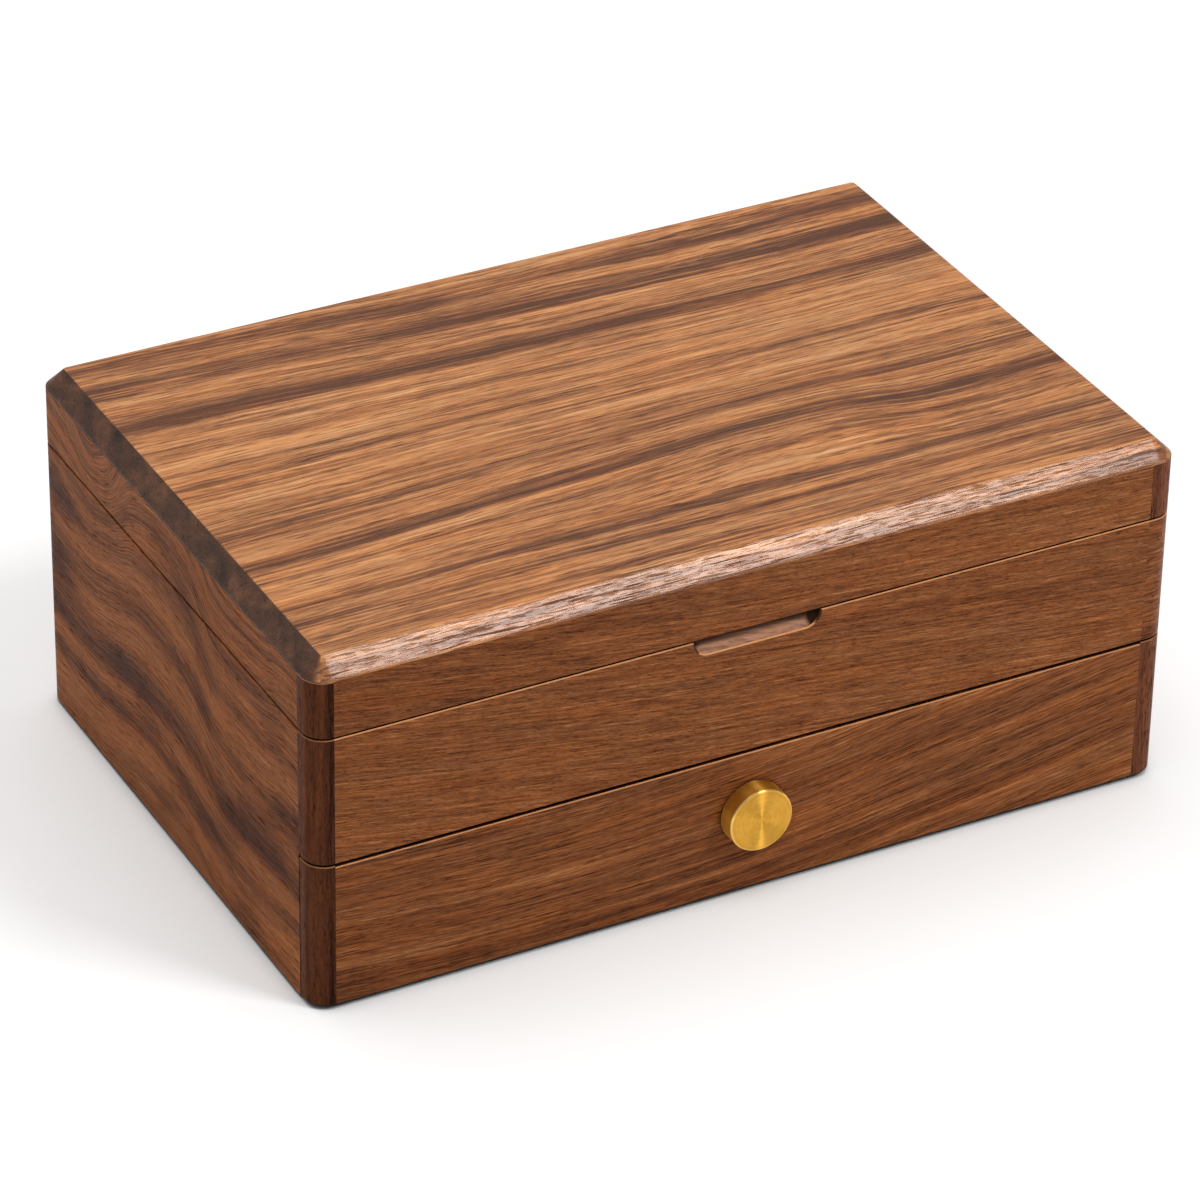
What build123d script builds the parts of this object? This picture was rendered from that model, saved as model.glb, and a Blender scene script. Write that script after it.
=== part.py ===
"""Walnut jewelry box: a hinged lid over a lined tray, and a drawer below it on wooden runners.

Sizes are in millimetres. X runs to the right along the front, Y to the back and Z up.
The origin is the middle of the base, on the table. The lid is closed and the drawer is shut.
"""
from build123d import *
import os

os.makedirs("parts", exist_ok=True)

# Overall size
box_width = 280.0
box_depth = 188.0
foot_height = 1.2         # felt under the base
case_height = 89.6        # case boards, from the felt up to the lid seam
drawer_opening = 48.2     # from the felt up to the fixed front board
lid_seam = 0.5            # gap between the case and the closed lid
lid_wall = 18.3           # height of the lid's rails
top_thickness = 6.0

# Boards, corner posts and the edges that show
board = 9.0               # thickness of the boards, and section of the corner posts
left_post_face = 7.0      # narrower front face of the front left posts
corner_land = 0.3         # flat left on a post beside its outer rounding
bevel_land = 0.3          # upright edge left under the lid's bevel
bevel_round = 1.0         # rounding where the bevel meets the top
seam_ease = 0.3           # eased edges of the case and drawer that face up
lower_ease = 0.3          # eased edges that face down
joint_ease = 0.25         # eased edge of the lid's frame under the top panel

# Tongues at the board ends, glued into grooves in the posts
tongue_width = 2.4
tongue_length = 2.4
tongue_stop = 5.0         # how far a tongue stops short of the board's edges
glue_gap = 0.1

# Deck between the tray and the drawer, base, linings
deck_thickness = 5.0
deck_lip = 3.0            # wood of the front board below the deck
deck_groove = 3.0
base_thickness = 5.0
base_rebate = 4.5
felt_inset = 2.0
lining_thickness = 1.0
lining_gap = 0.3
lid_lining_thickness = 2.0

# Finger notch in the fixed front board: a cove with round ends, hollowed from the upper edge
notch_width = 41.0
notch_radius = 4.9
notch_ease = 0.4

# Tray fittings
divider_thickness = 4.0
divider_round = 0.8
lap_gap = 0.1             # clearance where dividers cross, and at their ends
tray_divider_height = 26.0
ring_bay = 86.0
roll_count = 7
roll_height = 23.0
roll_gap = 0.4
roll_foot_ease = 2.0      # drawn-in edges beside a roll's sole
roll_end_length = 2.5     # length over which a roll's end draws in
roll_end_shrink = 1.5     # how far its sides and crown draw in there

# Bumper dots that the closed lid rests on
bumper_radius = 2.5
bumper_inset = 14.0       # from the inner face of the side board
bumper_recess = 0.6
bumper_clear = 0.1

# Drawer
front_gap = 0.4           # behind the drawer's posts
post_gap = 0.6            # above the drawer's posts
panel_gap = 1.1           # above the drawer's front panel
floor_gap = 0.3           # drawer front above the level of the case's lower edge
side_thickness = 7.0
side_gap = 0.6            # between a drawer side and the case
side_height = 38.0
base_gap = 0.8            # between the drawer sides and the base
back_thickness = 6.0
back_gap = 0.4
bottom_thickness = 3.0
bottom_lift = 3.0         # from the lower edge of the sides up to the drawer's bottom
bottom_groove = 2.5
finger_count = 5          # box-joint fingers at a rear corner, both boards together
finger_gap = 0.05
drawer_travel = 120.0
drawer_divider_height = 22.0
long_divider_offset = 18.0
drawer_middle_bay = 78.0  # width of the bays in the middle of the drawer

# Runners that carry the drawer
runner_height = 6.0
runner_setback = 8.0      # behind the front ends of the side boards
runner_rear_gap = 12.0    # in front of the back board
runner_groove = 3.2
runner_clear = 0.2
runner_ease = 1.5
runner_screw_spacing = 60.0

# Stop block under the deck, which catches the drawer's back
stop_width = 40.0
stop_length = 8.0
stop_overlap = 1.5
stop_clear = 0.3

# Hinges
hinge_length = 30.0
hinge_inset = 36.0        # from the inner face of the side board to the hinge
leaf_thickness = 1.1
leaf_reach = 7.2
leaf_gap = 0.1            # round a leaf in its mortise
barrel_radius = 2.0
barrel_room = 0.3
knuckle_count = 5
knuckle_gap = 0.15
pin_radius = 1.0
pin_clear = 0.05
axis_setoff = 0.8         # hinge axis behind the back of the box
leaf_screw_spacing = 16.0

# Countersunk wood screws
screw_head_radius = 1.9
screw_head_land = 0.2     # upright rim of the head above its cone
screw_radius = 0.9
screw_length = 9.0
screw_sides = 8           # small repeated fasteners are kept few-sided
screw_slot_width = 0.5
screw_slot_depth = 0.5
screw_clear = 0.05

# Brass knob and its machine screw
knob_radius = 10.2
knob_rise = 3.2           # above the middle of the drawer's front panel
knob_length = 6.2
knob_rim = 0.6
knob_back_ease = 0.3
knob_screw_radius = 2.0
knob_screw_reach = 4.2    # into the knob
knob_hole_end = 0.5
knob_hole_clear = 0.05
panel_hole_clear = 0.2
knob_head_radius = 3.6
knob_head_height = 2.2
knob_head_round = 0.8
knob_slot_width = 1.0
knob_slot_depth = 1.0

# Levels, from the table up
case_bottom = foot_height
base_top = case_bottom + base_thickness
opening_top = case_bottom + drawer_opening
deck_bottom = opening_top + deck_lip
deck_top = deck_bottom + deck_thickness
tray_floor = deck_top + lining_thickness
case_top = case_bottom + case_height
lid_bottom = case_top + lid_seam
lid_joint = lid_bottom + lid_wall

# Faces of the box, and the free width and depth inside its boards
half_width = box_width / 2
half_depth = box_depth / 2
inner_x = half_width - board
inner_y = half_depth - board
front_depth = board - front_gap
corner_radius = min(front_depth, left_post_face) - corner_land

# Drawer box
front_bottom = case_bottom + floor_gap
front_top = opening_top - panel_gap
side_bottom = base_top + base_gap
side_top = side_bottom + side_height
drawer_outer_x = inner_x - side_gap
drawer_inner_x = drawer_outer_x - side_thickness
drawer_front_y = -half_depth + front_depth
drawer_end_y = inner_y - back_gap
drawer_back_y = drawer_end_y - back_thickness
bottom_underside = side_bottom + bottom_lift
bottom_top = bottom_underside + bottom_thickness
drawer_floor = bottom_top + lining_thickness
runner_level = side_bottom + side_height / 2
runner_front = -inner_y + runner_setback
runner_length = inner_y - runner_rear_gap - runner_front
runner_inner_x = drawer_outer_x - runner_groove + runner_clear

# Hinge axis, screw rows and knob
axis_y = half_depth + axis_setoff
axis_z = case_top + lid_seam / 2
leaf_middle = half_depth - leaf_reach / 2
hinge_offset = inner_x - hinge_inset - hinge_length / 2
hinge_places = {"left": -hinge_offset, "right": hinge_offset}
leaf_screw_x = [
    centre + offset
    for centre in hinge_places.values()
    for offset in (-leaf_screw_spacing / 2, leaf_screw_spacing / 2)
]
knob_level = (front_bottom + front_top) / 2 + knob_rise

SIDES = {"left": -1, "right": 1}
TOUCH = 0.01              # tolerance for finding edges by their place


def save(builder, name):
    """Label a finished piece and write it to its own file."""
    builder.part.label = name
    export_step(builder.part, f"parts/{name}.step")


def block(x_ends, y_ends, z_ends, mode=Mode.ADD):
    """Rectangular block between two ends on each axis, given in either order."""
    ends = (x_ends, y_ends, z_ends)
    with Locations(tuple((low + high) / 2 for low, high in ends)):
        Box(*(abs(high - low) for low, high in ends), mode=mode)


def outline_edges(builder, height):
    """Edges of a piece at one height that lie on the outline of the box."""
    level = builder.edges().filter_by_position(Axis.Z, height - TOUCH, height + TOUCH)
    return level.filter_by(
        lambda edge: edge.geom_type == GeomType.CIRCLE
        or abs(edge.center().X) > half_width - TOUCH
        or abs(edge.center().Y) > half_depth - TOUCH
    )


def tongue_span(bottom, top, gap=0.0):
    """Height range of a tongue on a board, or of its groove when a gap is given."""
    return bottom + tongue_stop - gap, top - tongue_stop + gap


def post_face(x_side, y_side):
    """Width of a corner post's front or back face."""
    return left_post_face if (x_side, y_side) == (-1, -1) else board


def front_or_back_board(y_side, bottom, top, depth=board):
    """Board along X between two corner posts, with a tongue at each end."""
    middle = half_depth - depth / 2
    joints = {x_side: half_width - post_face(x_side, y_side) for x_side in SIDES.values()}
    block((-joints[-1], joints[1]), (y_side * (half_depth - depth), y_side * half_depth), (bottom, top))
    for x_side, joint in joints.items():
        block(
            (x_side * joint, x_side * (joint + tongue_length)),
            (y_side * (middle - tongue_width / 2), y_side * (middle + tongue_width / 2)),
            tongue_span(bottom, top),
        )


def side_board(x_side, bottom, top, front_joint, rear_joint):
    """Board along Y, with tongues over the heights at which it meets its two posts."""
    middle = half_width - board / 2
    block((x_side * inner_x, x_side * half_width), (-inner_y, inner_y), (bottom, top))
    for y_side, joint in ((-1, front_joint), (1, rear_joint)):
        block(
            (x_side * (middle - tongue_width / 2), x_side * (middle + tongue_width / 2)),
            (y_side * inner_y, y_side * (inner_y + tongue_length)),
            tongue_span(*joint),
        )


def corner_post(name, x_side, y_side, bottom, top, x_joint, y_joint=None, depth=board, eases=()):
    """Corner post with a rounded outer corner and a groove for each board that meets it."""
    groove = tongue_width + 2 * glue_gap
    reach = tongue_length + glue_gap
    y_middle = half_depth - depth / 2
    x_middle = half_width - board / 2
    face = post_face(x_side, y_side)
    joint = half_width - face
    with BuildPart() as post:
        with BuildSketch(Plane.XY.offset(bottom)):
            RectangleRounded(box_width, box_depth, corner_radius)
            with Locations((x_side * (joint + face / 2), y_side * y_middle)):
                Rectangle(face, depth, mode=Mode.INTERSECT)
        extrude(amount=top - bottom)
        for height, length in eases:
            chamfer(outline_edges(post, height), length=length)
        block(
            (x_side * joint, x_side * (joint + reach)),
            (y_side * (y_middle - groove / 2), y_side * (y_middle + groove / 2)),
            tongue_span(*x_joint, gap=glue_gap),
            mode=Mode.SUBTRACT,
        )
        if y_joint:
            block(
                (x_side * (x_middle - groove / 2), x_side * (x_middle + groove / 2)),
                (y_side * inner_y, y_side * (inner_y + reach)),
                tongue_span(*y_joint, gap=glue_gap),
                mode=Mode.SUBTRACT,
            )
    save(post, name)


def wood_screw(clear=0.0):
    """Countersunk screw along -Z with its head level with the origin, or its hole with a clearance."""
    head = screw_head_radius + clear
    shank = screw_radius + clear
    with BuildPart() as screw:
        with BuildSketch():
            RegularPolygon(head, screw_sides)
        extrude(amount=-screw_head_land - (head - shank))
        chamfer(screw.faces().sort_by(Axis.Z)[0].edges(), length=head - shank)
        with BuildSketch():
            RegularPolygon(shank, screw_sides)
        extrude(amount=-screw_length - clear)
        if clear == 0:
            with Locations((0, 0, -screw_slot_depth / 2)):
                Box(2 * head, screw_slot_width, screw_slot_depth, mode=Mode.SUBTRACT)
    return screw.part


screw_solid = wood_screw()
screw_hole = wood_screw(clear=screw_clear)


def hinge_seats(edge, direction):
    """Leaf mortises, barrel room and screw holes in a board; direction is the way into the wood."""
    for centre in hinge_places.values():
        block(
            (centre - hinge_length / 2 - leaf_gap, centre + hinge_length / 2 + leaf_gap),
            (half_depth - leaf_reach - leaf_gap, half_depth + axis_setoff),
            (edge, edge + direction * leaf_thickness),
            mode=Mode.SUBTRACT,
        )
        with Locations(Location((centre, axis_y, axis_z), (0, 90, 0))):
            Cylinder(
                barrel_radius + barrel_room, hinge_length + 2 * leaf_gap, mode=Mode.SUBTRACT
            )
    with Locations(*leaf_screw_places(edge, direction)):
        add(screw_hole, mode=Mode.SUBTRACT)


def leaf_screw_places(edge, direction):
    """Places of the leaf screws in the hinges' row, head at the edge and point into the wood."""
    turn = 0 if direction < 0 else 180
    return [Location((x, leaf_middle, edge), (turn, 0, 0)) for x in leaf_screw_x]


def runner_screw_places(x_side):
    """Places of one runner's screws, head level with the runner and point into the side board."""
    middle = runner_front + runner_length / 2
    return [
        Location((x_side * runner_inner_x, middle + step, runner_level), (0, -90 * x_side, 0))
        for step in (-runner_screw_spacing, 0, runner_screw_spacing)
    ]


# Case: side boards, with grooves for the deck and rebates for the base
for word, x_side in SIDES.items():
    with BuildPart() as case_side_panel:
        side_board(
            x_side, case_bottom, case_top, (opening_top, case_top), (case_bottom, case_top)
        )
        chamfer(outline_edges(case_side_panel, case_top), length=seam_ease)
        block(
            (x_side * inner_x, x_side * (inner_x + deck_groove + glue_gap)),
            (-inner_y, inner_y),
            (deck_bottom, deck_top),
            mode=Mode.SUBTRACT,
        )
        block(
            (x_side * inner_x, x_side * (inner_x + base_rebate)),
            (-inner_y, inner_y),
            (case_bottom, base_top),
            mode=Mode.SUBTRACT,
        )
        with Locations(*runner_screw_places(x_side)):
            add(screw_hole, mode=Mode.SUBTRACT)
    save(case_side_panel, f"case_{word}_panel")

# Case: back board
with BuildPart() as case_back_panel:
    front_or_back_board(1, case_bottom, case_top)
    chamfer(outline_edges(case_back_panel, case_top), length=seam_ease)
    block(
        (-inner_x, inner_x),
        (inner_y, inner_y + deck_groove + glue_gap),
        (deck_bottom, deck_top),
        mode=Mode.SUBTRACT,
    )
    block(
        (-inner_x, inner_x),
        (inner_y, inner_y + base_rebate),
        (case_bottom, base_top),
        mode=Mode.SUBTRACT,
    )
    hinge_seats(case_top, -1)
save(case_back_panel, "case_back_panel")

# Case: fixed front board with the finger notch
bumper_places = [
    (x_side * (inner_x - bumper_inset), -half_depth + board / 2, case_top)
    for x_side in SIDES.values()
]
with BuildPart() as upper_front_board:
    front_or_back_board(-1, opening_top, case_top)
    chamfer(outline_edges(upper_front_board, case_top), length=seam_ease)
    chamfer(outline_edges(upper_front_board, opening_top), length=lower_ease)
    block(
        (-inner_x, inner_x),
        (-inner_y - deck_groove - glue_gap, -inner_y),
        (deck_bottom, deck_top),
        mode=Mode.SUBTRACT,
    )
    notch_end = notch_width / 2 - notch_radius
    with Locations(Location((0, -half_depth, case_top), (0, 90, 0))):
        Cylinder(notch_radius, 2 * notch_end, mode=Mode.SUBTRACT)
    with Locations((-notch_end, -half_depth, case_top), (notch_end, -half_depth, case_top)):
        Sphere(notch_radius, mode=Mode.SUBTRACT)
    with BuildSketch(Plane.XZ.offset(half_depth)):
        with Locations((0, case_top)):
            SlotOverall(notch_width + 2 * notch_ease, 2 * (notch_radius + notch_ease))
    extrude(amount=-2 * notch_ease, taper=45, mode=Mode.SUBTRACT)
    with Locations(*bumper_places):
        Cylinder(
            bumper_radius,
            bumper_recess,
            align=(Align.CENTER, Align.CENTER, Align.MAX),
            mode=Mode.SUBTRACT,
        )
save(upper_front_board, "upper_front_board")

# Case: corner posts
for word, x_side in SIDES.items():
    corner_post(
        f"upper_front_{word}_post", x_side, -1, opening_top, case_top,
        x_joint=(opening_top, case_top), y_joint=(opening_top, case_top),
        eases=((case_top, seam_ease), (opening_top, lower_ease)),
    )
    corner_post(
        f"rear_{word}_post", x_side, 1, case_bottom, case_top,
        x_joint=(case_bottom, case_top), y_joint=(case_bottom, case_top),
        eases=((case_top, seam_ease),),
    )

# Case: bumper dots on the fixed front board
with BuildPart() as lid_bumpers:
    with Locations(*bumper_places):
        with Locations((0, 0, -bumper_recess)):
            Cylinder(
                bumper_radius,
                bumper_recess + lid_seam - bumper_clear,
                align=(Align.CENTER, Align.CENTER, Align.MIN),
            )
save(lid_bumpers, "lid_bumpers")

# Case: deck under the tray, let into grooves on all four sides
with BuildPart() as tray_deck:
    with BuildSketch(Plane.XY.offset(deck_bottom)):
        Rectangle(2 * (inner_x + deck_groove), 2 * inner_y)
        Rectangle(2 * inner_x, 2 * (inner_y + deck_groove))
    extrude(amount=deck_thickness)
save(tray_deck, "tray_deck")

# Case: base in its rebates, flush with the front ends of the side boards
with BuildPart() as base_panel:
    block(
        (-inner_x - base_rebate, inner_x + base_rebate), (-inner_y, inner_y), (case_bottom, base_top)
    )
    block((-inner_x, inner_x), (inner_y, inner_y + base_rebate), (case_bottom, base_top))
save(base_panel, "base_panel")

# Case: felt under the base and the lower edges of the boards
with BuildPart() as base_felt:
    block(
        (-half_width + felt_inset, half_width - felt_inset),
        (-inner_y + felt_inset, half_depth - felt_inset),
        (0, case_bottom),
    )
    upright = base_felt.edges().filter_by(Axis.Z).group_by(Axis.Y)[-1]
    fillet(upright, radius=corner_radius - felt_inset)
save(base_felt, "base_felt")

# Case: runners on the side boards, which carry the drawer, and their screws
for word, x_side in SIDES.items():
    with BuildPart() as runner:
        block(
            (x_side * runner_inner_x, x_side * inner_x),
            (runner_front, runner_front + runner_length),
            (runner_level - runner_height / 2, runner_level + runner_height / 2),
        )
        chamfer(runner.edges().filter_by(Axis.X), length=runner_ease)
        with Locations(*runner_screw_places(x_side)):
            add(screw_hole, mode=Mode.SUBTRACT)
    save(runner, f"{word}_runner")

with BuildPart() as runner_screws:
    for x_side in SIDES.values():
        with Locations(*runner_screw_places(x_side)):
            add(screw_solid)
save(runner_screws, "runner_screws")

# Case: block under the deck that stops the drawer
stop_rear = drawer_back_y - drawer_travel - stop_clear
with BuildPart() as drawer_stop_block:
    block(
        (-stop_width / 2, stop_width / 2),
        (stop_rear - stop_length, stop_rear),
        (side_top - stop_overlap, deck_bottom),
    )
save(drawer_stop_block, "drawer_stop_block")


def divider(name, plane, ends, floor, height, laps=(), lap_at_top=True):
    """Upright strip with rounded top edges, between two ends, half-lapped where others cross it."""
    with BuildPart() as strip:
        with BuildSketch(plane):
            with Locations(((ends[0] + ends[1]) / 2, floor + height / 2)):
                Rectangle(ends[1] - ends[0], height)
        extrude(amount=divider_thickness / 2, both=True)
        top_face = strip.faces().sort_by(Axis.Z)[-1]
        long_edges = top_face.edges().group_by(SortBy.LENGTH)[-1]
        fillet(long_edges, radius=divider_round)
        lap_middle = floor + height * (0.75 if lap_at_top else 0.25)
        if laps:
            with BuildSketch(plane):
                with Locations(*((place, lap_middle) for place in laps)):
                    Rectangle(divider_thickness + 2 * lap_gap, height / 2 + lap_gap)
            extrude(amount=divider_thickness / 2, both=True, mode=Mode.SUBTRACT)
    save(strip, name)


def lining(name, x_half, y_ends, floor, thickness):
    """Flat suede lining with softened upright corners, laid on a board."""
    with BuildPart() as sheet:
        block((-x_half, x_half), y_ends, (floor, floor + thickness))
        fillet(sheet.edges().filter_by(Axis.Z), radius=lining_gap)
    save(sheet, name)


# Tray: suede on the deck and the walnut dividers that stand on it
lining(
    "tray_lining",
    inner_x - lining_gap,
    (-inner_y + lining_gap, inner_y - lining_gap),
    deck_top,
    lining_thickness,
)
ring_divider_x = -inner_x + ring_bay + divider_thickness / 2
compartments_start = ring_divider_x + divider_thickness / 2
cross_divider_x = (compartments_start + inner_x) / 2
full_depth = (-inner_y + lap_gap, inner_y - lap_gap)
divider(
    "tray_ring_divider", Plane.YZ.offset(ring_divider_x), full_depth, tray_floor, tray_divider_height
)
divider(
    "tray_cross_divider", Plane.YZ.offset(cross_divider_x), full_depth, tray_floor,
    tray_divider_height, laps=(0,), lap_at_top=False,
)
divider(
    "tray_long_divider", Plane.XZ, (compartments_start + lap_gap, inner_x - lap_gap), tray_floor,
    tray_divider_height, laps=(cross_divider_x,),
)

# Tray: padded rolls that hold rings between them, side by side in the left bay
roll_pitch = (2 * inner_y - roll_gap) / roll_count
roll_width = roll_pitch - roll_gap
roll_start = -inner_x + roll_gap
roll_end = ring_divider_x - divider_thickness / 2 - roll_gap
roll_radius = roll_width / 2
for index in range(roll_count):
    middle_y = -inner_y + roll_gap + roll_radius + index * roll_pitch
    profile_plane = Plane((roll_start, middle_y, tray_floor), x_dir=(0, 1, 0), z_dir=(1, 0, 0))
    with BuildPart() as ring_roll:
        with BuildSketch(profile_plane):
            with BuildLine():
                sole = Line((0, 0), (roll_radius - roll_foot_ease, 0))
                foot = Line(sole @ 1, (roll_radius, roll_foot_ease))
                flank = Line(foot @ 1, (roll_radius, roll_height - roll_radius))
                RadiusArc(flank @ 1, (0, roll_height), -roll_radius)
                mirror(about=Plane.YZ)
            make_face()
        extrude(amount=roll_end - roll_start)
        end_edges = ring_roll.faces().filter_by(Axis.X).edges()
        drawn_in = end_edges.filter_by(lambda edge: edge.center().Z > tray_floor + roll_foot_ease)
        chamfer(drawn_in, length=roll_end_length, length2=roll_end_shrink)
    save(ring_roll, f"ring_roll_{index + 1}")

# Hinges: leaves with their knuckles, pins and screws
knuckle_length = hinge_length / knuckle_count


def hinge_leaf(name, centre, edge, direction, first_knuckle):
    """Leaf in its mortise with every second knuckle of the barrel, from the first one given."""
    start = centre - hinge_length / 2
    with BuildPart() as leaf:
        with BuildSketch(Plane.YZ.offset(start)):
            with Locations((axis_y, axis_z)):
                Circle(barrel_radius)
            with Locations((axis_y, edge + direction * leaf_thickness / 2)):
                Rectangle(
                    leaf_reach + axis_setoff, leaf_thickness, align=(Align.MAX, Align.CENTER)
                )
        extrude(amount=hinge_length)
        for index in range(1 - first_knuckle, knuckle_count, 2):
            low = start + index * knuckle_length
            block(
                (low - knuckle_gap, low + knuckle_length + knuckle_gap),
                (axis_y - barrel_radius - knuckle_gap, axis_y + barrel_radius),
                (axis_z - barrel_radius, axis_z + barrel_radius),
                mode=Mode.SUBTRACT,
            )
        with Locations(Location((centre, axis_y, axis_z), (0, 90, 0))):
            Cylinder(pin_radius + pin_clear, hinge_length, mode=Mode.SUBTRACT)
        with Locations(*leaf_screw_places(edge, direction)):
            add(screw_hole, mode=Mode.SUBTRACT)
    save(leaf, name)


for word, centre in hinge_places.items():
    hinge_leaf(f"{word}_hinge_case_leaf", centre, case_top, -1, first_knuckle=0)
    hinge_leaf(f"{word}_hinge_lid_leaf", centre, lid_bottom, 1, first_knuckle=1)
    with BuildPart() as hinge_pin:
        with Locations(Location((centre, axis_y, axis_z), (0, 90, 0))):
            Cylinder(pin_radius, hinge_length)
    save(hinge_pin, f"{word}_hinge_pin")

with BuildPart() as case_leaf_screws:
    with Locations(*leaf_screw_places(case_top, -1)):
        add(screw_solid)
save(case_leaf_screws, "case_leaf_screws")

with BuildPart() as lid_leaf_screws:
    with Locations(*leaf_screw_places(lid_bottom, 1)):
        add(screw_solid)
save(lid_leaf_screws, "lid_leaf_screws")

# Lid: solid top, bevelled all round, on a frame of rails and short posts
with BuildPart() as lid_top_panel:
    with BuildSketch(Plane.XY.offset(lid_joint)):
        RectangleRounded(box_width, box_depth, corner_radius)
    extrude(amount=top_thickness)
    chamfer(lid_top_panel.faces().sort_by(Axis.Z)[-1].edges(), length=top_thickness - bevel_land)
    fillet(lid_top_panel.faces().sort_by(Axis.Z)[-1].edges(), radius=bevel_round)
save(lid_top_panel, "lid_top_panel")

with BuildPart() as lid_front_rail:
    front_or_back_board(-1, lid_bottom, lid_joint)
    chamfer(outline_edges(lid_front_rail, lid_bottom), length=lower_ease)
save(lid_front_rail, "lid_front_rail")

with BuildPart() as lid_back_rail:
    front_or_back_board(1, lid_bottom, lid_joint)
    chamfer(outline_edges(lid_back_rail, lid_bottom), length=lower_ease)
    hinge_seats(lid_bottom, 1)
save(lid_back_rail, "lid_back_rail")

for word, x_side in SIDES.items():
    with BuildPart() as lid_side_rail:
        side_board(x_side, lid_bottom, lid_joint, (lid_bottom, lid_joint), (lid_bottom, lid_joint))
        chamfer(outline_edges(lid_side_rail, lid_bottom), length=lower_ease)
        chamfer(outline_edges(lid_side_rail, lid_joint), length=joint_ease)
    save(lid_side_rail, f"lid_{word}_rail")
    for place, y_side in (("front", -1), ("rear", 1)):
        corner_post(
            f"lid_{place}_{word}_post", x_side, y_side, lid_bottom, lid_joint,
            x_joint=(lid_bottom, lid_joint), y_joint=(lid_bottom, lid_joint),
            eases=((lid_bottom, lower_ease),),
        )

lining(
    "lid_lining",
    inner_x - lining_gap,
    (-inner_y + lining_gap, inner_y - lining_gap),
    lid_joint - lid_lining_thickness,
    lid_lining_thickness,
)

# Drawer: front panel between two posts, across the whole width of the box
side_middle_x = (drawer_outer_x + drawer_inner_x) / 2
side_joint = (max(side_bottom, front_bottom), min(side_top, front_top))
with BuildPart() as drawer_front_panel:
    front_or_back_board(-1, front_bottom, front_top, depth=front_depth)
    chamfer(outline_edges(drawer_front_panel, front_top), length=seam_ease)
    chamfer(outline_edges(drawer_front_panel, front_bottom), length=lower_ease)
    for x_side in SIDES.values():
        block(
            (x_side * side_middle_x - tongue_width / 2 - glue_gap,
             x_side * side_middle_x + tongue_width / 2 + glue_gap),
            (drawer_front_y - tongue_length - glue_gap, drawer_front_y),
            tongue_span(*side_joint, gap=glue_gap),
            mode=Mode.SUBTRACT,
        )
    block(
        (-drawer_inner_x, drawer_inner_x),
        (drawer_front_y - bottom_groove - glue_gap, drawer_front_y),
        (bottom_underside, bottom_top),
        mode=Mode.SUBTRACT,
    )
    with Locations(Location((0, -half_depth + front_depth / 2, knob_level), (90, 0, 0))):
        Cylinder(knob_screw_radius + panel_hole_clear, front_depth, mode=Mode.SUBTRACT)
save(drawer_front_panel, "drawer_front_panel")

for word, x_side in SIDES.items():
    corner_post(
        f"drawer_front_{word}_post", x_side, -1, front_bottom, opening_top - post_gap,
        x_joint=(front_bottom, front_top), depth=front_depth,
        eases=((opening_top - post_gap, seam_ease), (front_bottom, lower_ease)),
    )

# Drawer: sides, with a groove for the runner outside and one for the bottom inside
finger_height = side_height / finger_count


def cut_fingers(first, x_ends, y_ends):
    """Cut every second finger gap of a box joint, from the first one given."""
    for index in range(first, finger_count, 2):
        low = side_bottom + index * finger_height - finger_gap / 2
        high = low + finger_height + finger_gap
        block(x_ends, y_ends, (low, high), mode=Mode.SUBTRACT)


for word, x_side in SIDES.items():
    with BuildPart() as drawer_side:
        block(
            (x_side * drawer_inner_x, x_side * drawer_outer_x),
            (drawer_front_y, drawer_end_y),
            (side_bottom, side_top),
        )
        block(
            (x_side * side_middle_x - tongue_width / 2, x_side * side_middle_x + tongue_width / 2),
            (drawer_front_y - tongue_length, drawer_front_y),
            tongue_span(*side_joint),
        )
        block(
            (x_side * (drawer_outer_x - runner_groove), x_side * drawer_outer_x),
            (runner_front - runner_clear, drawer_end_y),
            (runner_level - runner_height / 2 - runner_clear,
             runner_level + runner_height / 2 + runner_clear),
            mode=Mode.SUBTRACT,
        )
        block(
            (x_side * drawer_inner_x, x_side * (drawer_inner_x + bottom_groove + glue_gap)),
            (drawer_front_y, drawer_back_y),
            (bottom_underside, bottom_top),
            mode=Mode.SUBTRACT,
        )
        cut_fingers(
            1,
            (x_side * drawer_inner_x, x_side * drawer_outer_x),
            (drawer_back_y - finger_gap, drawer_end_y),
        )
    save(drawer_side, f"drawer_{word}_side")

# Drawer: back, box-jointed between the sides
with BuildPart() as drawer_back:
    block(
        (-drawer_outer_x, drawer_outer_x), (drawer_back_y, drawer_end_y), (side_bottom, side_top)
    )
    for x_side in SIDES.values():
        cut_fingers(
            0,
            (x_side * (drawer_inner_x - finger_gap), x_side * drawer_outer_x),
            (drawer_back_y, drawer_end_y),
        )
        block(
            (x_side * (drawer_outer_x - runner_groove), x_side * drawer_outer_x),
            (drawer_back_y, drawer_end_y),
            (runner_level - runner_height / 2 - runner_clear,
             runner_level + runner_height / 2 + runner_clear),
            mode=Mode.SUBTRACT,
        )
    block(
        (-drawer_inner_x, drawer_inner_x),
        (drawer_back_y, drawer_back_y + bottom_groove + glue_gap),
        (bottom_underside, bottom_top),
        mode=Mode.SUBTRACT,
    )
save(drawer_back, "drawer_back")

# Drawer: bottom in its grooves, lining and dividers
with BuildPart() as drawer_bottom:
    with BuildSketch(Plane.XY.offset(bottom_underside)):
        with Locations((0, (drawer_front_y + drawer_back_y) / 2)):
            inner_length = drawer_back_y - drawer_front_y
            Rectangle(2 * (drawer_inner_x + bottom_groove), inner_length)
            Rectangle(2 * drawer_inner_x, inner_length + 2 * bottom_groove)
    extrude(amount=bottom_thickness)
save(drawer_bottom, "drawer_bottom")

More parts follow.
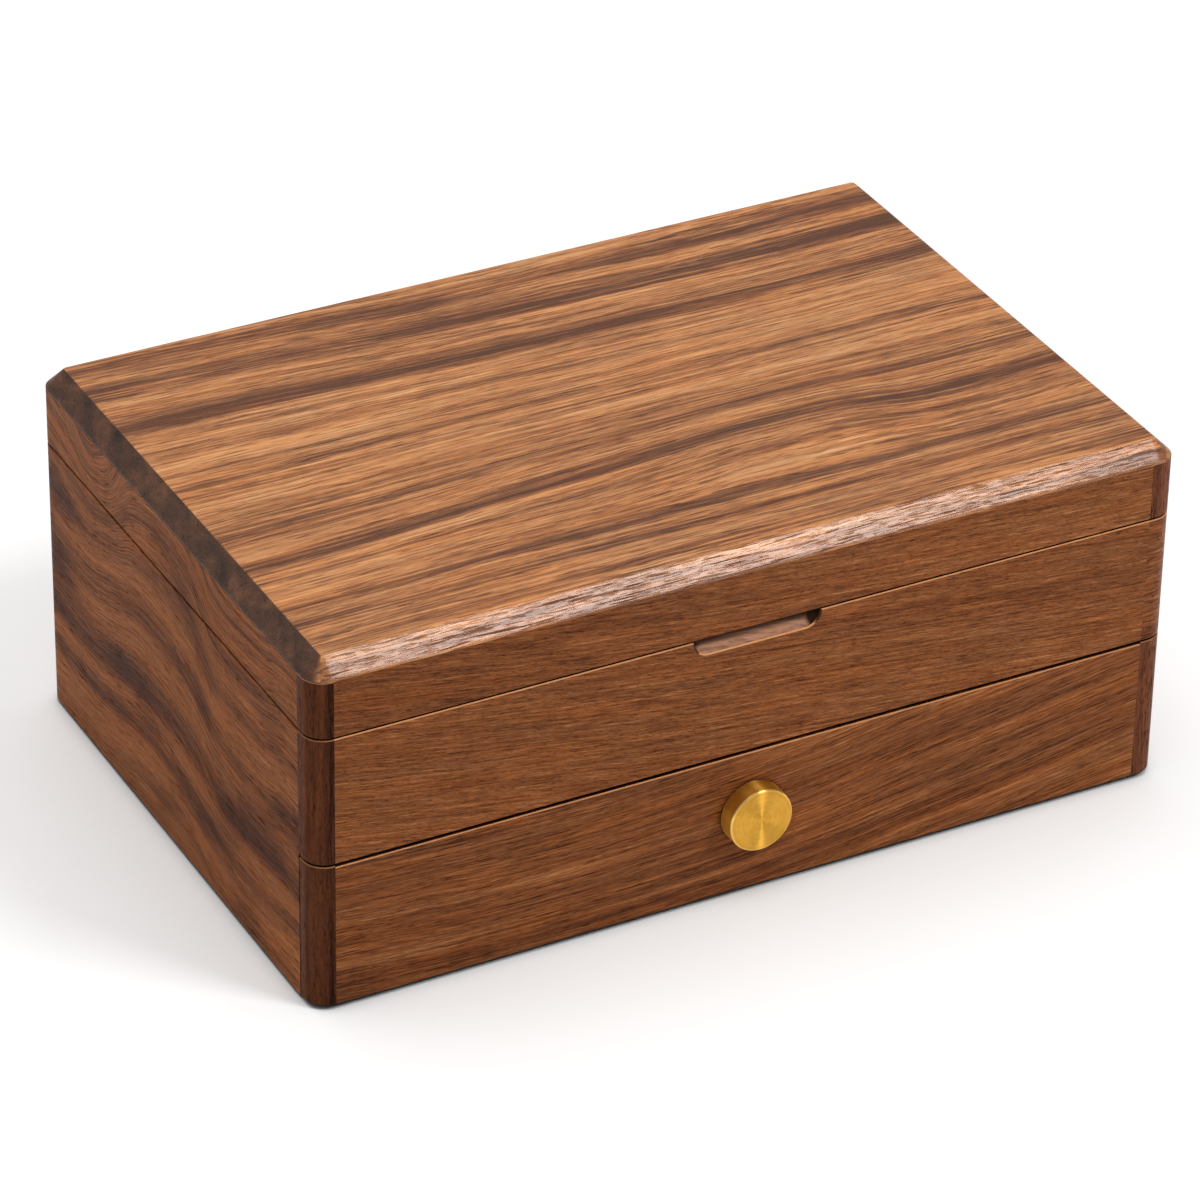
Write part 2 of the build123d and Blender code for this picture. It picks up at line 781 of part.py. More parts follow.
lining(
    "drawer_lining",
    drawer_inner_x - lining_gap,
    (drawer_front_y + lining_gap, drawer_back_y - lining_gap),
    bottom_top,
    lining_thickness,
)
long_divider_y = (drawer_front_y + drawer_back_y) / 2 + long_divider_offset
drawer_cross_x = (drawer_middle_bay + divider_thickness) / 2
divider(
    "drawer_long_divider", Plane.XZ.offset(-long_divider_y),
    (-drawer_inner_x + lap_gap, drawer_inner_x - lap_gap), drawer_floor, drawer_divider_height,
    laps=(-drawer_cross_x, drawer_cross_x),
)
for word, x_side in SIDES.items():
    divider(
        f"drawer_{word}_divider", Plane.YZ.offset(x_side * drawer_cross_x),
        (drawer_front_y + lap_gap, drawer_back_y - lap_gap), drawer_floor, drawer_divider_height,
        laps=(long_divider_y,), lap_at_top=False,
    )

# Drawer: turned brass knob and the machine screw that holds it from inside
knob_plane = Plane((0, -half_depth, knob_level), x_dir=(0, -1, 0), z_dir=(-1, 0, 0))
knob_axis = Axis(knob_plane.origin, knob_plane.x_dir)
with BuildPart() as knob:
    with BuildSketch(knob_plane):
        with BuildLine():
            Polyline(
                (0, knob_screw_radius + knob_hole_clear),
                (0, knob_radius - knob_back_ease),
                (knob_back_ease, knob_radius),
                (knob_length - knob_rim, knob_radius),
                (knob_length, knob_radius - knob_rim),
                (knob_length, 0),
                (knob_screw_reach + knob_hole_end, 0),
                (knob_screw_reach + knob_hole_end, knob_screw_radius + knob_hole_clear),
                close=True,
            )
        make_face()
    revolve(axis=knob_axis)
save(knob, "knob")

with BuildPart() as knob_screw:
    with BuildSketch(knob_plane):
        with BuildLine():
            Polyline(
                (knob_screw_reach, 0),
                (knob_screw_reach, knob_screw_radius),
                (-front_depth, knob_screw_radius),
                (-front_depth, knob_head_radius),
                (-front_depth - knob_head_height + knob_head_round, knob_head_radius),
                (-front_depth - knob_head_height, knob_head_radius - knob_head_round),
                (-front_depth - knob_head_height, 0),
                close=True,
            )
        make_face()
    revolve(axis=knob_axis)
    head_face = drawer_front_y + knob_head_height
    block(
        (-knob_head_radius, knob_head_radius),
        (head_face - knob_slot_depth, head_face),
        (knob_level - knob_slot_width / 2, knob_level + knob_slot_width / 2),
        mode=Mode.SUBTRACT,
    )
save(knob_screw, "knob_screw")
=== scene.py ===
"""Looks of the walnut jewelry box on its fixed frame: woods, brass, suede, felt, light and camera."""
import math

import bmesh
import bpy
from mathutils import Matrix, Vector


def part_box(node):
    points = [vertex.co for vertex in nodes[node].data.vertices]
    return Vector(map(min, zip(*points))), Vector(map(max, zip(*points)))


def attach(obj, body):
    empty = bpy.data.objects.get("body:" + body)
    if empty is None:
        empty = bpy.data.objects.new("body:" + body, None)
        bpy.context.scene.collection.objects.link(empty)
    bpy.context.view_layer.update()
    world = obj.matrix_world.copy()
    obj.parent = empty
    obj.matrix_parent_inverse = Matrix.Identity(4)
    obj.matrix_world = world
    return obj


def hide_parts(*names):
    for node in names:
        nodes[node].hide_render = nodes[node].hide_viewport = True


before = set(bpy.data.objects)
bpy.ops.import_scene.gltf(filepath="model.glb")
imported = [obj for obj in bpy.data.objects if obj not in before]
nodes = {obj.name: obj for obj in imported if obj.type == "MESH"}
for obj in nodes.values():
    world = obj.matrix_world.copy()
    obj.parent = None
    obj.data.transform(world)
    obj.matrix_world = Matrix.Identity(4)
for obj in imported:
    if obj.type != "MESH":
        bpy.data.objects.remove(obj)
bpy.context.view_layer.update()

MM = 0.001
CAMERA_AIM = Vector((0.0, 0.0, 0.055))
WHITE = (1.0, 1.0, 1.0, 1.0)


def tone(red, green, blue):
    """Colour given as it shows on a screen, 0 to 255, in the linear values that shaders take."""
    def linear(value):
        share = value / 255
        return share / 12.92 if share <= 0.04045 else ((share + 0.055) / 1.055) ** 2.4
    return (linear(red), linear(green), linear(blue), 1.0)


# Painted shade in seams between pieces: colour that falls to near black where little light gets in
SEAM_SHADE_TONE = tone(12, 8, 6)
SEAM_REACH = 3.0 * MM     # about the widest seam that goes dark
SEAM_OPENNESS = (0.36, 0.66)
SEAM_SHARE = 0.95


class Shader:
    """Node tree of one material. Its calls take numbers or other nodes' outputs, and return outputs."""

    def __init__(self, name):
        self.material = bpy.data.materials.new(name)
        self.material.use_nodes = True
        self.tree = self.material.node_tree
        self.tree.nodes.clear()

    def node(self, kind, inputs=None, **settings):
        made = self.tree.nodes.new("ShaderNode" + kind)
        for key, value in settings.items():
            setattr(made, key, value)
        for key, value in (inputs or {}).items():
            self.feed(made.inputs[key], value)
        return made

    def feed(self, socket, value):
        if isinstance(value, bpy.types.NodeSocket):
            self.tree.links.new(value, socket)
        else:
            socket.default_value = value

    def math(self, operation, first, second=0.0, third=0.0, clamp=False):
        inputs = {0: first, 1: second, 2: third}
        return self.node("Math", inputs, operation=operation, use_clamp=clamp).outputs[0]

    def add(self, *values):
        total = values[0]
        for value in values[1:]:
            total = self.math("ADD", total, value)
        return total

    def times(self, first, second):
        return self.math("MULTIPLY", first, second)

    def minus(self, first, second):
        return self.math("SUBTRACT", first, second)

    def between(self, value, low, high, to_low=0.0, to_high=1.0, smooth=True):
        """Value taken from one range to another, held at its ends."""
        kind = "SMOOTHSTEP" if smooth else "LINEAR"
        inputs = {0: value, 1: low, 2: high, 3: to_low, 4: to_high}
        return self.node("MapRange", inputs, interpolation_type=kind).outputs[0]

    def noise(self, x, y, z, detail=2.0, roughness=0.5):
        """Noise from 0 to 1 at a place given by three values; a step of 1 is about one blotch."""
        inputs = {"Vector": self.node("CombineXYZ", {0: x, 1: y, 2: z}).outputs[0], "Scale": 1.0,
                  "Detail": detail, "Roughness": roughness}
        return self.node("TexNoise", inputs).outputs["Fac"]

    def level(self, along, across, scale, third=0.0, texture=(1, 1), detail=2.0, roughness=0.5):
        """Noise from 0 to 1 with as many blotches per millimetre, along and across, as scale says."""
        x = self.times(along, scale[0] * texture[0])
        y = self.times(across, scale[1] * texture[1])
        return self.noise(x, y, third, detail, roughness)

    def layer(self, along, across, scale, third, amount, **settings):
        """Level that swings from minus to plus about half the amount."""
        level = self.level(along, across, scale, third, **settings)
        return self.math("MULTIPLY_ADD", level, 2 * amount, -amount)

    def cloud(self, spot, scale, **settings):
        """Noise from 0 to 1 in space, with as many blotches per millimetre as scale says."""
        return self.noise(*(self.times(value, scale) for value in spot), **settings)

    def ramp(self, value, stops, interpolation="LINEAR"):
        """Colour or grey level from a list of (place, colour) stops, places from 0 to 1."""
        made = self.node("ValToRGB", {0: value})
        band = made.color_ramp
        band.interpolation = interpolation
        while len(band.elements) < len(stops):
            band.elements.new(0.5)
        for element, (place, colour) in zip(band.elements, stops):
            element.position = place
            element.color = colour if hasattr(colour, "__len__") else (colour, colour, colour, 1.0)
        return made.outputs[0]

    def mix(self, factor, first, second, blend="MIX"):
        made = self.node("Mix", data_type="RGBA", blend_type=blend)
        self.feed(made.inputs[0], factor)
        self.feed(made.inputs[6], first)
        self.feed(made.inputs[7], second)
        return made.outputs[2]

    def curve(self, value, points):
        """Smooth curve through (place, height) points, flat beyond its ends."""
        places = [place for place, _ in points]
        heights = [height for _, height in points]
        low, high = min(heights), max(heights) + 1e-6
        share = self.between(value, places[0], places[-1], smooth=False)
        made = self.node("FloatCurve", {1: share})
        line = made.mapping.curves[0]
        for _ in range(len(points) - 2):
            line.points.new(0.5, 0.5)
        for spot, (place, height) in zip(line.points, points):
            spot.location = ((place - places[0]) / (places[-1] - places[0]),
                             (height - low) / (high - low))
        made.mapping.update()
        return self.math("MULTIPLY_ADD", made.outputs[0], high - low, low)

    def place(self):
        """Place on the piece in millimetres, as three outputs."""
        coordinates = self.node("TexCoord")
        scaled = self.node("VectorMath", {0: coordinates.outputs["Object"], 1: (1000, 1000, 1000)},
                           operation="MULTIPLY")
        split = self.node("SeparateXYZ", {0: scaled.outputs[0]})
        return split.outputs[0], split.outputs[1], split.outputs[2]

    def normal(self, axis):
        """How much the piece's surface faces along an axis, from -1 to 1."""
        normal = self.node("SeparateXYZ", {0: self.node("TexCoord").outputs["Normal"]})
        return normal.outputs["XYZ".index(axis)]

    def facing(self, axis):
        """How squarely the piece's surface faces along an axis, from 0 to 1, whichever way."""
        return self.math("ABSOLUTE", self.normal(axis))

    def openness(self, reach, samples):
        """Share of the surroundings within reach that is open, from 0 to 1."""
        return self.node("AmbientOcclusion", {"Distance": reach}, samples=samples).outputs["AO"]

    def paint_gap_shade(self, colour):
        """Painted shade: colour that falls to near black in narrow seams, where little light gets in.
        """
        narrow = self.between(self.openness(SEAM_REACH, 4), *SEAM_OPENNESS, SEAM_SHARE, 0.0)
        return self.mix(narrow, colour, SEAM_SHADE_TONE)

    def finish(self, colour, roughness, height=None, depth=0.0, round_edges=None, tangent=None,
               **settings):
        """Principled surface with bump from a height of 0 to 1; settings are its other inputs."""
        surface = self.node("BsdfPrincipled")
        self.feed(surface.inputs["Base Color"], colour)
        self.feed(surface.inputs["Roughness"], roughness)
        for key, value in settings.items():
            self.feed(surface.inputs[key.replace("_", " ")], value)
        normal = None
        if round_edges:
            normal = self.node("Bevel", {"Radius": round_edges}, samples=6).outputs[0]
        if height is not None:
            bump = self.node("Bump", {"Height": height, "Distance": depth, "Strength": 1.0})
            if normal is not None:
                self.feed(bump.inputs["Normal"], normal)
            normal = bump.outputs[0]
        if normal is not None:
            self.feed(surface.inputs["Normal"], normal)
        if tangent is not None:
            self.feed(surface.inputs["Tangent"], tangent)
        output = self.node("OutputMaterial")
        self.feed(output.inputs[0], surface.outputs[0])
        return self.material


# Walnut tones, from the darkest lines of a board to its lightest streaks
TOP_TONES = (tone(98, 54, 27), tone(152, 93, 52), tone(214, 143, 86), tone(248, 188, 128))
FRONT_TONES = (tone(70, 35, 17), tone(118, 66, 34), tone(154, 93, 52), tone(204, 138, 88))
SIDE_TONES = (tone(74, 36, 14), tone(124, 69, 33), tone(162, 96, 50), tone(200, 132, 78))
POST_TONES = (tone(40, 20, 12), tone(77, 42, 26), tone(103, 59, 36), tone(132, 83, 54))
RED_POST_TONES = (tone(58, 31, 22), tone(96, 55, 38), tone(126, 77, 54), tone(156, 103, 76))
END_TONES = (tone(43, 23, 10), tone(68, 40, 22), tone(89, 54, 32), tone(121, 77, 48))
# Painted highlight for eased edges and joints; painted sheen and painted shade for the hollow under the
# lid
EDGE_HIGHLIGHT_TONE = tone(240, 168, 112)
COVE_SHEEN_TONE = tone(240, 184, 150)
COVE_SHADE_TONE = tone(34, 18, 12)
RAMP_BANDS = 9            # bands that one colour ramp holds

# Layers of the grain: blotches per millimetre along and across the board, or each way on end grain
WANDER = (0.009, 0.02)
RIPPLE = (0.035, 0.12)
BROAD = (0.003, 0.07)
STRIPES = (0.007, 0.30)
FIBRES = (0.028, 1.05)
THREADS = (0.10, 2.2)
PORES = (0.14, 2.1)
FLECKS = (0.36, 4.2)
CLUSTERS = (0.02, 0.35)
SMEARS = (0.016, 0.032)
PATCHES = (0.012, 0.05)
WARMTH = (0.02, 0.16)
END_DOTS = (1.6, 1.6)
END_BLOTCHES = (0.10, 0.2)

# Line of the grain
WANDER_REACH = 2.2        # how far it wanders across, in millimetres
LEAST_LIFT = 0.8          # least share of the lift where the lift grows across the board
DEPTH_STRETCH = 0.5       # how fast fibres change in depth

# How much each layer lightens or darkens the wood
BROAD_SHARE = 0.34
STRIPE_SHARE = 0.46
FIBRE_SHARE = 0.52
THREAD_SHARE = 0.42
PORE_SHARE = 0.40
FLECK_SHARE = 0.24
LONE_PORE = 0.35          # strength of a pore outside the clusters
END_PLAIN = 0.85          # share of the grain that end grain loses
END_BAND = 0.6            # share of the bands that end grain loses
END_DOT_SHARE = 0.32
END_BLOTCH_SHARE = 0.7
BAND_BREAK = 0.6          # how much light fibres break a band up
HALF_LENGTH = 140         # half of the box's width, over which a board may grow lighter

# Places of the tones between darkest and lightest, and the tint that drifts from cool to warm
TONE_PLACES = (0.02, 0.34, 0.64, 0.98)
END_TONE_PLACES = (0.1, 0.38, 0.62, 0.9)
COOL_TINT = (0.90, 0.96, 1.04, 1)
WARM_TINT = (1.06, 0.99, 0.88, 1)

# Levels of noise from which a mark begins to where it is full
PORE_LEVELS = (0.57, 0.66)
FLECK_LEVELS = (0.54, 0.66)
CLUSTER_LEVELS = (0.35, 0.6)
SMEAR_LEVELS = (0.5, 0.72)
PATCH_LEVELS = (0.25, 0.6)
PATCH_STRENGTHS = (0.6, 1.15)

# Where a hollow is, in millimetres behind the face, and how strong the painted sheen on its floor and
# the painted shade in it are
COVE_NEAR = (0.4, 0.6)
COVE_FAR = (5.6, 5.2)
COVE_SHEEN_SHARE = 0.8
COVE_SHADES = (0.85, 0.95)    # under the lid, and at the end in shade

# Painted highlight just below a joint, where an eased edge would catch the light, in millimetres down
# from it
JOINT_HIGHLIGHT_DROPS = (0.32, 0.2)
JOINT_HIGHLIGHT_SHARE = 0.45

# How the surface feels: bump depth, and what grain, pores and end grain do to roughness and height
GRAIN_DEPTH = 0.09 * MM
GRAIN_ROUGHNESS = -0.08
PORE_ROUGHNESS = 0.4
END_ROUGHNESS = 0.2
PLAIN_HEIGHT = 0.7
GRAIN_HEIGHT = 0.25
PORE_HEIGHT = -0.75
FLECK_HEIGHT = -0.25


def grain_line(shader, u, v, seed, wave, lift, growth, swells):
    """Line of grain through each point: it wanders slowly along the board, with its lift and swells."""
    wander = shader.layer(u, v, WANDER, seed, WANDER_REACH, detail=1)
    ripple = shader.layer(u, v, RIPPLE, seed + 7, wave)
    line = shader.add(v, wander, ripple)
    if lift:
        amount = shader.curve(u, lift)
        whole_at, growing = growth
        if growing:
            share = shader.math("MULTIPLY_ADD", v, growing, 1 - whole_at * growing)
            amount = shader.times(amount, shader.math("MAXIMUM", share, LEAST_LIFT))
        line = shader.minus(line, amount)
    for middle, reach, shifts in swells:
        away = shader.math("ABSOLUTE", shader.minus(v, middle))
        line = shader.add(line, shader.times(shader.curve(u, shifts), shader.between(away, reach, 0)))
    return line


def band_darkness(shader, u, line, seed, bands, fibres, end):
    """Darkness of the bands, patchy along the board and weaker on end grain."""
    reach = max(abs(middle) + left + right for middle, left, right, _ in bands) + 1
    share = shader.between(line, -reach, reach, smooth=False)
    ordered = sorted(bands)
    dark = 0.0
    for first in range(0, len(ordered), RAMP_BANDS):
        stops = [(0.0, 0.5)]    # half way is plain wood, so that a band can also be light
        for middle, left, right, amount in ordered[first:first + RAMP_BANDS]:
            edges = ((middle - left, 0.5), (middle, 0.5 + amount / 2), (middle + right, 0.5))
            stops += [((place + reach) / (2 * reach), value) for place, value in edges]
        part = shader.ramp(share, stops + [(1.0, 0.5)], "EASE")
        dark = shader.add(dark, shader.math("MULTIPLY_ADD", part, 2.0, -1.0))
    patchy = shader.level(u, line, PATCHES, seed + 9, detail=1)
    strength = shader.add(shader.between(patchy, *PATCH_LEVELS, *PATCH_STRENGTHS),
                          shader.times(fibres, -BAND_BREAK))
    strength = shader.times(strength, shader.math("MULTIPLY_ADD", end, -END_BAND, 1.0))
    return shader.times(dark, strength)


def eased_edges(shader, up):
    """Where the surface is the narrow slope of an edge that faces up and outwards."""
    return shader.times(shader.between(up, 0.5, 0.62), shader.between(up, 0.86, 0.8))


def hollow(shader, colour, cove, up, away, v, grain):
    """Colour in a hollow cut in the face: painted sheen on its floor, painted shade under the lid and
    at the end in shade.
    """
    floor, brim = cove
    inside = shader.times(shader.between(away, *COVE_NEAR), shader.between(away, *COVE_FAR))
    inside = shader.times(inside, shader.between(v, floor - 0.3, floor))
    inside = shader.times(inside, shader.between(v, brim - 0.15, brim - 0.4))
    # Painted sheen on the floor of the hollow
    pale = shader.times(inside, shader.between(up, 0.1, 0.6))
    pale = shader.times(pale, shader.between(grain, -0.3, 0.3, 0.45, 1.1))
    colour = shader.mix(shader.times(pale, COVE_SHEEN_SHARE), colour, COVE_SHEEN_TONE)
    # Painted shade under the lid, and at the end that faces away from the light
    under = shader.times(shader.between(v, floor + 0.6, floor + 2.2), COVE_SHADES[0])
    dark_end = shader.times(shader.between(shader.normal("X"), -0.15, -0.5), COVE_SHADES[1])
    return shader.mix(shader.times(inside, shader.math("MAXIMUM", under, dark_end)), colour, COVE_SHADE_TONE)


def walnut(name, along, across, tones, seed, face=0.0, slope=0.4, bands=(), lift=None, growth=(0, 0),
           swells=(), figure=1.0, fine=1.0, pores=1.0, flecks=1.0, level=0.0, tilt=0.0, curl=0.0,
           wave=0.6, clouds=0.0, texture=(1, 1), arris=0.75, gloss=0.06, rough=0.30, ends=(1, 1),
           edge=0.3, joint_line=None, cove=None):
    """Oiled walnut whose grain runs along one axis and whose stripes lie across another.

    face is where the visible face lies on the third axis, and slope how far the stripes lean in depth.
    lift is how far a line of grain has moved across at places along the board, in millimetres, and
    growth is (place across where the lift is whole, share that it grows each millimetre beyond).
    swells are (middle, reach, shifts along the board) of a part whose lines move across by themselves.
    bands are stripes by their place across: (middle, width below, width above, darkness).
    figure, fine, pores and flecks are how strong the broad figure, the fibres and the dark marks are.
    texture is how much shorter and how much finer the fibres are, curl how wavy the threads look, wave
    how far the lines ripple, tilt how much lighter the right end and clouds how strong the dark smears.
    ends is how much the end grain shows at the two ends, edge how far the edges are rounded, arris how
    strong the painted highlight on them is, joint_line the height of a joint with a painted highlight
    just below it, and cove the floor and brim of a hollow cut in the face, which gets painted sheen and
    shade.
    """
    shader = Shader(name)
    spot = dict(zip("XYZ", shader.place()))
    deep = next(axis for axis in "XYZ" if axis not in (along, across))
    u, v, w = spot[along], spot[across], spot[deep]
    flat = grain_line(shader, u, v, seed, wave, lift, growth, swells)
    line = shader.math("MULTIPLY_ADD", w, -slope, shader.math("ADD", flat, slope * face))
    depth = shader.times(w, DEPTH_STRETCH)

    # Shade of the wood: broad bands, growth stripes, fibres and finer threads
    broad = shader.layer(u, line, BROAD, seed + 1, 1.0)
    stripes = shader.layer(u, line, STRIPES, seed + 2, 1.0, roughness=0.55)
    fibres = shader.layer(u, flat, FIBRES, shader.math("ADD", depth, seed + 3), 1.0,
                          texture=texture, roughness=0.6)
    threads = shader.layer(u, flat, THREADS, shader.math("ADD", depth, seed + 4), 1.0,
                           texture=texture, roughness=0.7)
    end = shader.between(shader.facing(along), 0.36, 0.6)
    end = shader.times(end, shader.between(u, -1, 1, *ends))
    plain = shader.math("MULTIPLY_ADD", end, -END_PLAIN, 1.0)
    grain = shader.add(shader.times(fibres, FIBRE_SHARE * fine),
                       shader.times(threads, THREAD_SHARE * fine + curl))
    shade = shader.add(
        shader.math("MULTIPLY_ADD", u, tilt / HALF_LENGTH, 0.5 + level),
        shader.times(broad, BROAD_SHARE * figure),
        shader.times(shader.times(stripes, STRIPE_SHARE * figure), plain),
        shader.times(grain, plain),
    )
    if clouds:
        smear = shader.level(u, line, SMEARS, seed + 11)
        shade = shader.minus(shade, shader.times(shader.between(smear, *SMEAR_LEVELS), clouds))
    if bands:
        shade = shader.minus(shade, band_darkness(shader, u, line, seed, bands, fibres, end))

    # Pores and flecks: short dark lines along the grain, dots on end grain
    pore = shader.level(u, flat, PORES, shader.times(w, PORES[1]), texture, detail=1)
    pore = shader.between(pore, *PORE_LEVELS)
    fleck = shader.level(u, flat, FLECKS, shader.times(w, FLECKS[1]), texture, detail=1)
    fleck = shader.between(fleck, *FLECK_LEVELS)
    cluster = shader.between(shader.level(u, line, CLUSTERS, seed + 5), *CLUSTER_LEVELS)
    pore = shader.times(pore, shader.math("MULTIPLY_ADD", cluster, 1 - LONE_PORE, LONE_PORE))
    marks = shader.add(shader.times(pore, PORE_SHARE * pores),
                       shader.times(fleck, FLECK_SHARE * flecks))
    shade = shader.math("SUBTRACT", shade, shader.times(marks, plain), clamp=True)

    # Colour: the board's tones, a drifting tint, end grain, a painted highlight on edges and painted
    # shade in seams
    colour = shader.ramp(shade, tuple(zip(TONE_PLACES, tones)))
    tint = shader.ramp(shader.level(u, line, WARMTH, seed + 6), ((0.3, COOL_TINT), (0.7, WARM_TINT)))
    colour = shader.mix(1.0, colour, tint, "MULTIPLY")
    dots = shader.layer(v, w, END_DOTS, seed + 8, END_DOT_SHARE)
    blotches = shader.layer(v, w, END_BLOTCHES, seed + 10, END_BLOTCH_SHARE)
    end_colour = shader.ramp(shader.add(shade, dots, blotches), tuple(zip(END_TONE_PLACES, END_TONES)))
    colour = shader.mix(end, colour, end_colour)
    # Painted highlight on narrow eased edges that face up, where the light would catch them
    if arris:
        up = shader.normal("Z")
        eased = eased_edges(shader, up)
        # In the hollow: painted sheen and painted shade, and the edge highlight only at the face and
        # the brim
        if cove:
            away = shader.math("ABSOLUTE", shader.minus(w, face))
            colour = hollow(shader, colour, cove, up, away, v, grain)
            at_brim = shader.between(v, cove[1] - 0.5, cove[1] - 0.4)
            eased = shader.times(eased, shader.math("MAXIMUM", shader.between(away, 0.5, 0.4), at_brim))
        colour = shader.mix(shader.times(eased, arris), colour, EDGE_HIGHLIGHT_TONE)
    # Painted highlight just below the joint
    if joint_line:
        low, high = (joint_line - drop for drop in JOINT_HIGHLIGHT_DROPS)
        just_below = shader.between(spot["Z"], low, high, 0, JOINT_HIGHLIGHT_SHARE)
        colour = shader.mix(just_below, colour, EDGE_HIGHLIGHT_TONE)
    # Painted shade in narrow seams
    colour = shader.paint_gap_shade(colour)

    roughness = shader.math("MULTIPLY_ADD", pore, PORE_ROUGHNESS, rough)
    roughness = shader.add(roughness, shader.times(grain, GRAIN_ROUGHNESS),
                           shader.times(end, END_ROUGHNESS))
    height = shader.math("MULTIPLY_ADD", grain, GRAIN_HEIGHT, PLAIN_HEIGHT)
    height = shader.add(height, shader.times(pore, PORE_HEIGHT), shader.times(fleck, FLECK_HEIGHT))
    return shader.finish(colour, roughness, height, GRAIN_DEPTH, edge * MM, Specular_IOR_Level=gloss)


def dress(material, *names):
    """Give a material to nodes of the frame."""
    for name in names:
        for slot in nodes[name].material_slots:
            slot.material = material


def level_of(node, axis, end):
    """Place in millimetres of a node's lowest (0) or highest (1) side along an axis."""
    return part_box(node)[end]["XYZ".index(axis)] / MM


# Faces of the box and the joint under the lid's top, in millimetres
TOP = level_of("lid_top_panel", "Z", 1)
JOINT = level_of("lid_top_panel", "Z", 0)
FRONT = level_of("upper_front_board", "Y", 0)
BACK = level_of("case_back_panel", "Y", 1)
LEFT = level_of("case_left_panel", "X", 0)
RIGHT = level_of("case_right_panel", "X", 1)

# Lid: one wide board on top, whose dark stripes draw together towards the middle
LID_SWELLS = (
    (-36, 36, ((-140, 0), (-90, -1.5), (-40, -4), (0, -6.5), (42, -8.5), (72, -5.5), (97, -2.5),
               (140, -3.5))),
    (56, 62, ((-140, 0), (-70, 4), (0, 8.5), (70, 10), (140, 9))),
)
TOP_BANDS = (
    (-84, 3.0, 3.0, 0.16), (-72, 3.4, 3.0, 0.32), (-64, 3.4, 3.2, 0.30), (-55.5, 4.0, 4.0, -0.08),
    (-48, 2.6, 2.4, 0.12), (-39.5, 4.5, 9.0, 0.48), (-28, 2.5, 2.5, -0.06),
    (-21, 4.5, 4.6, 0.28), (-12, 3.4, 3.4, 0.10), (-4, 4.5, 4.5, -0.12), (9, 5.0, 5.0, 0.12),
    (22, 7.0, 6.0, -0.12), (35, 6.0, 6.0, -0.12), (48, 6.0, 9.0, 0.46), (60, 3.5, 3.5, 0.06),
    (70, 7.0, 7.0, 0.48), (84, 5.0, 6.0, 0.34),
)
dress(walnut("walnut_lid_top", "X", "Y", TOP_TONES, 3.0, TOP, 2.2, TOP_BANDS, swells=LID_SWELLS,
             figure=0.5, level=0.05, texture=(0.6, 0.8), pores=0.7, flecks=0.7, arris=0, gloss=0.42,
             rough=0.25, ends=(1, 0.3), edge=1.2),
      "lid_top_panel")

# Front: two plain boards whose grain falls to the right, and a drawer front whose grain climbs there
RAIL_LIFT = ((-134, 0), (0, -18), (134, -28))
UPPER_LIFT = ((-134, 0), (0, -20), (134, -34))
DRAWER_LIFT = ((-134, 0), (-60, -3), (0, -1), (60, 6), (134, 17))
FRONT_TEXTURE = (1.7, 1.2)
NOTCH = (86.0, level_of("upper_front_board", "Z", 1))
dress(walnut("walnut_lid_front", "X", "Z", FRONT_TONES, 11.0, FRONT, lift=RAIL_LIFT, figure=0.4,
             pores=0.5, level=0.015, tilt=0.08, texture=FRONT_TEXTURE),
      "lid_front_rail")
dress(walnut("walnut_upper_front", "X", "Z", FRONT_TONES, 23.0, FRONT, lift=UPPER_LIFT, figure=0.38,
             pores=0.5, level=0.03, texture=FRONT_TEXTURE, arris=0.9, cove=NOTCH),
      "upper_front_board")
dress(walnut("walnut_drawer_front", "X", "Z", FRONT_TONES, 31.0, FRONT, lift=DRAWER_LIFT, figure=0.85,
             pores=0.7, level=0.0, tilt=0.07, texture=(0.9, 1.2)),
      "drawer_front_panel")

# Sides: the left panel and rail are sawn from one board, whose stripes rise in the middle
SIDE_LIFT = ((-94, -1.0), (-80, 0.2), (-60, -1.6), (-41, -2.1), (-22, 2.0), (-6, 6.2), (14, 7),
             (36, 4.4), (50, 1.6), (62, 0), (94, 0))
SIDE_BANDS = (
    (5, 4, 4, 0.08), (13, 4, 4, -0.08), (22.5, 4.5, 5.0, 0.26), (28.5, 2.0, 2.0, -0.05),
    (36, 7.0, 13.0, 0.38), (52, 4, 3, 0.06), (59, 7.0, 9.0, 0.26), (77, 6, 7, 0.16), (91, 6, 8, 0.22),
    (100, 3.0, 3.0, 0.14), (106, 1.6, 2.2, 0.30), (111, 1.6, 2.0, 0.26), (116, 2.0, 3.0, 0.34),
)
SIDE_SWELLS = ((103, 34, ((8, 0), (30, 3), (50, 12), (70, 5), (88, 0))),)
dress(walnut("walnut_left_side", "Y", "Z", SIDE_TONES, 41.0, LEFT, bands=SIDE_BANDS, lift=SIDE_LIFT,
             growth=(45, 0.012), swells=SIDE_SWELLS, figure=0.34, fine=0.75, wave=0.25, clouds=0.4,
             pores=0.7, gloss=0.02, arris=0.0, level=0.065, texture=(1.0, 1.3), ends=(1, 0)),
      "case_left_panel", "lid_left_rail", "rear_left_post", "lid_rear_left_post")
dress(walnut("walnut_right_side", "Y", "Z", SIDE_TONES, 53.0, RIGHT, bands=SIDE_BANDS[2:8], figure=0.8,
             fine=0.8, gloss=0.02, arris=0.4),
      "case_right_panel", "lid_right_rail")
dress(walnut("walnut_back", "X", "Z", SIDE_TONES, 61.0, BACK, figure=0.9, gloss=0.02, arris=0.4),
      "case_back_panel", "lid_back_rail")

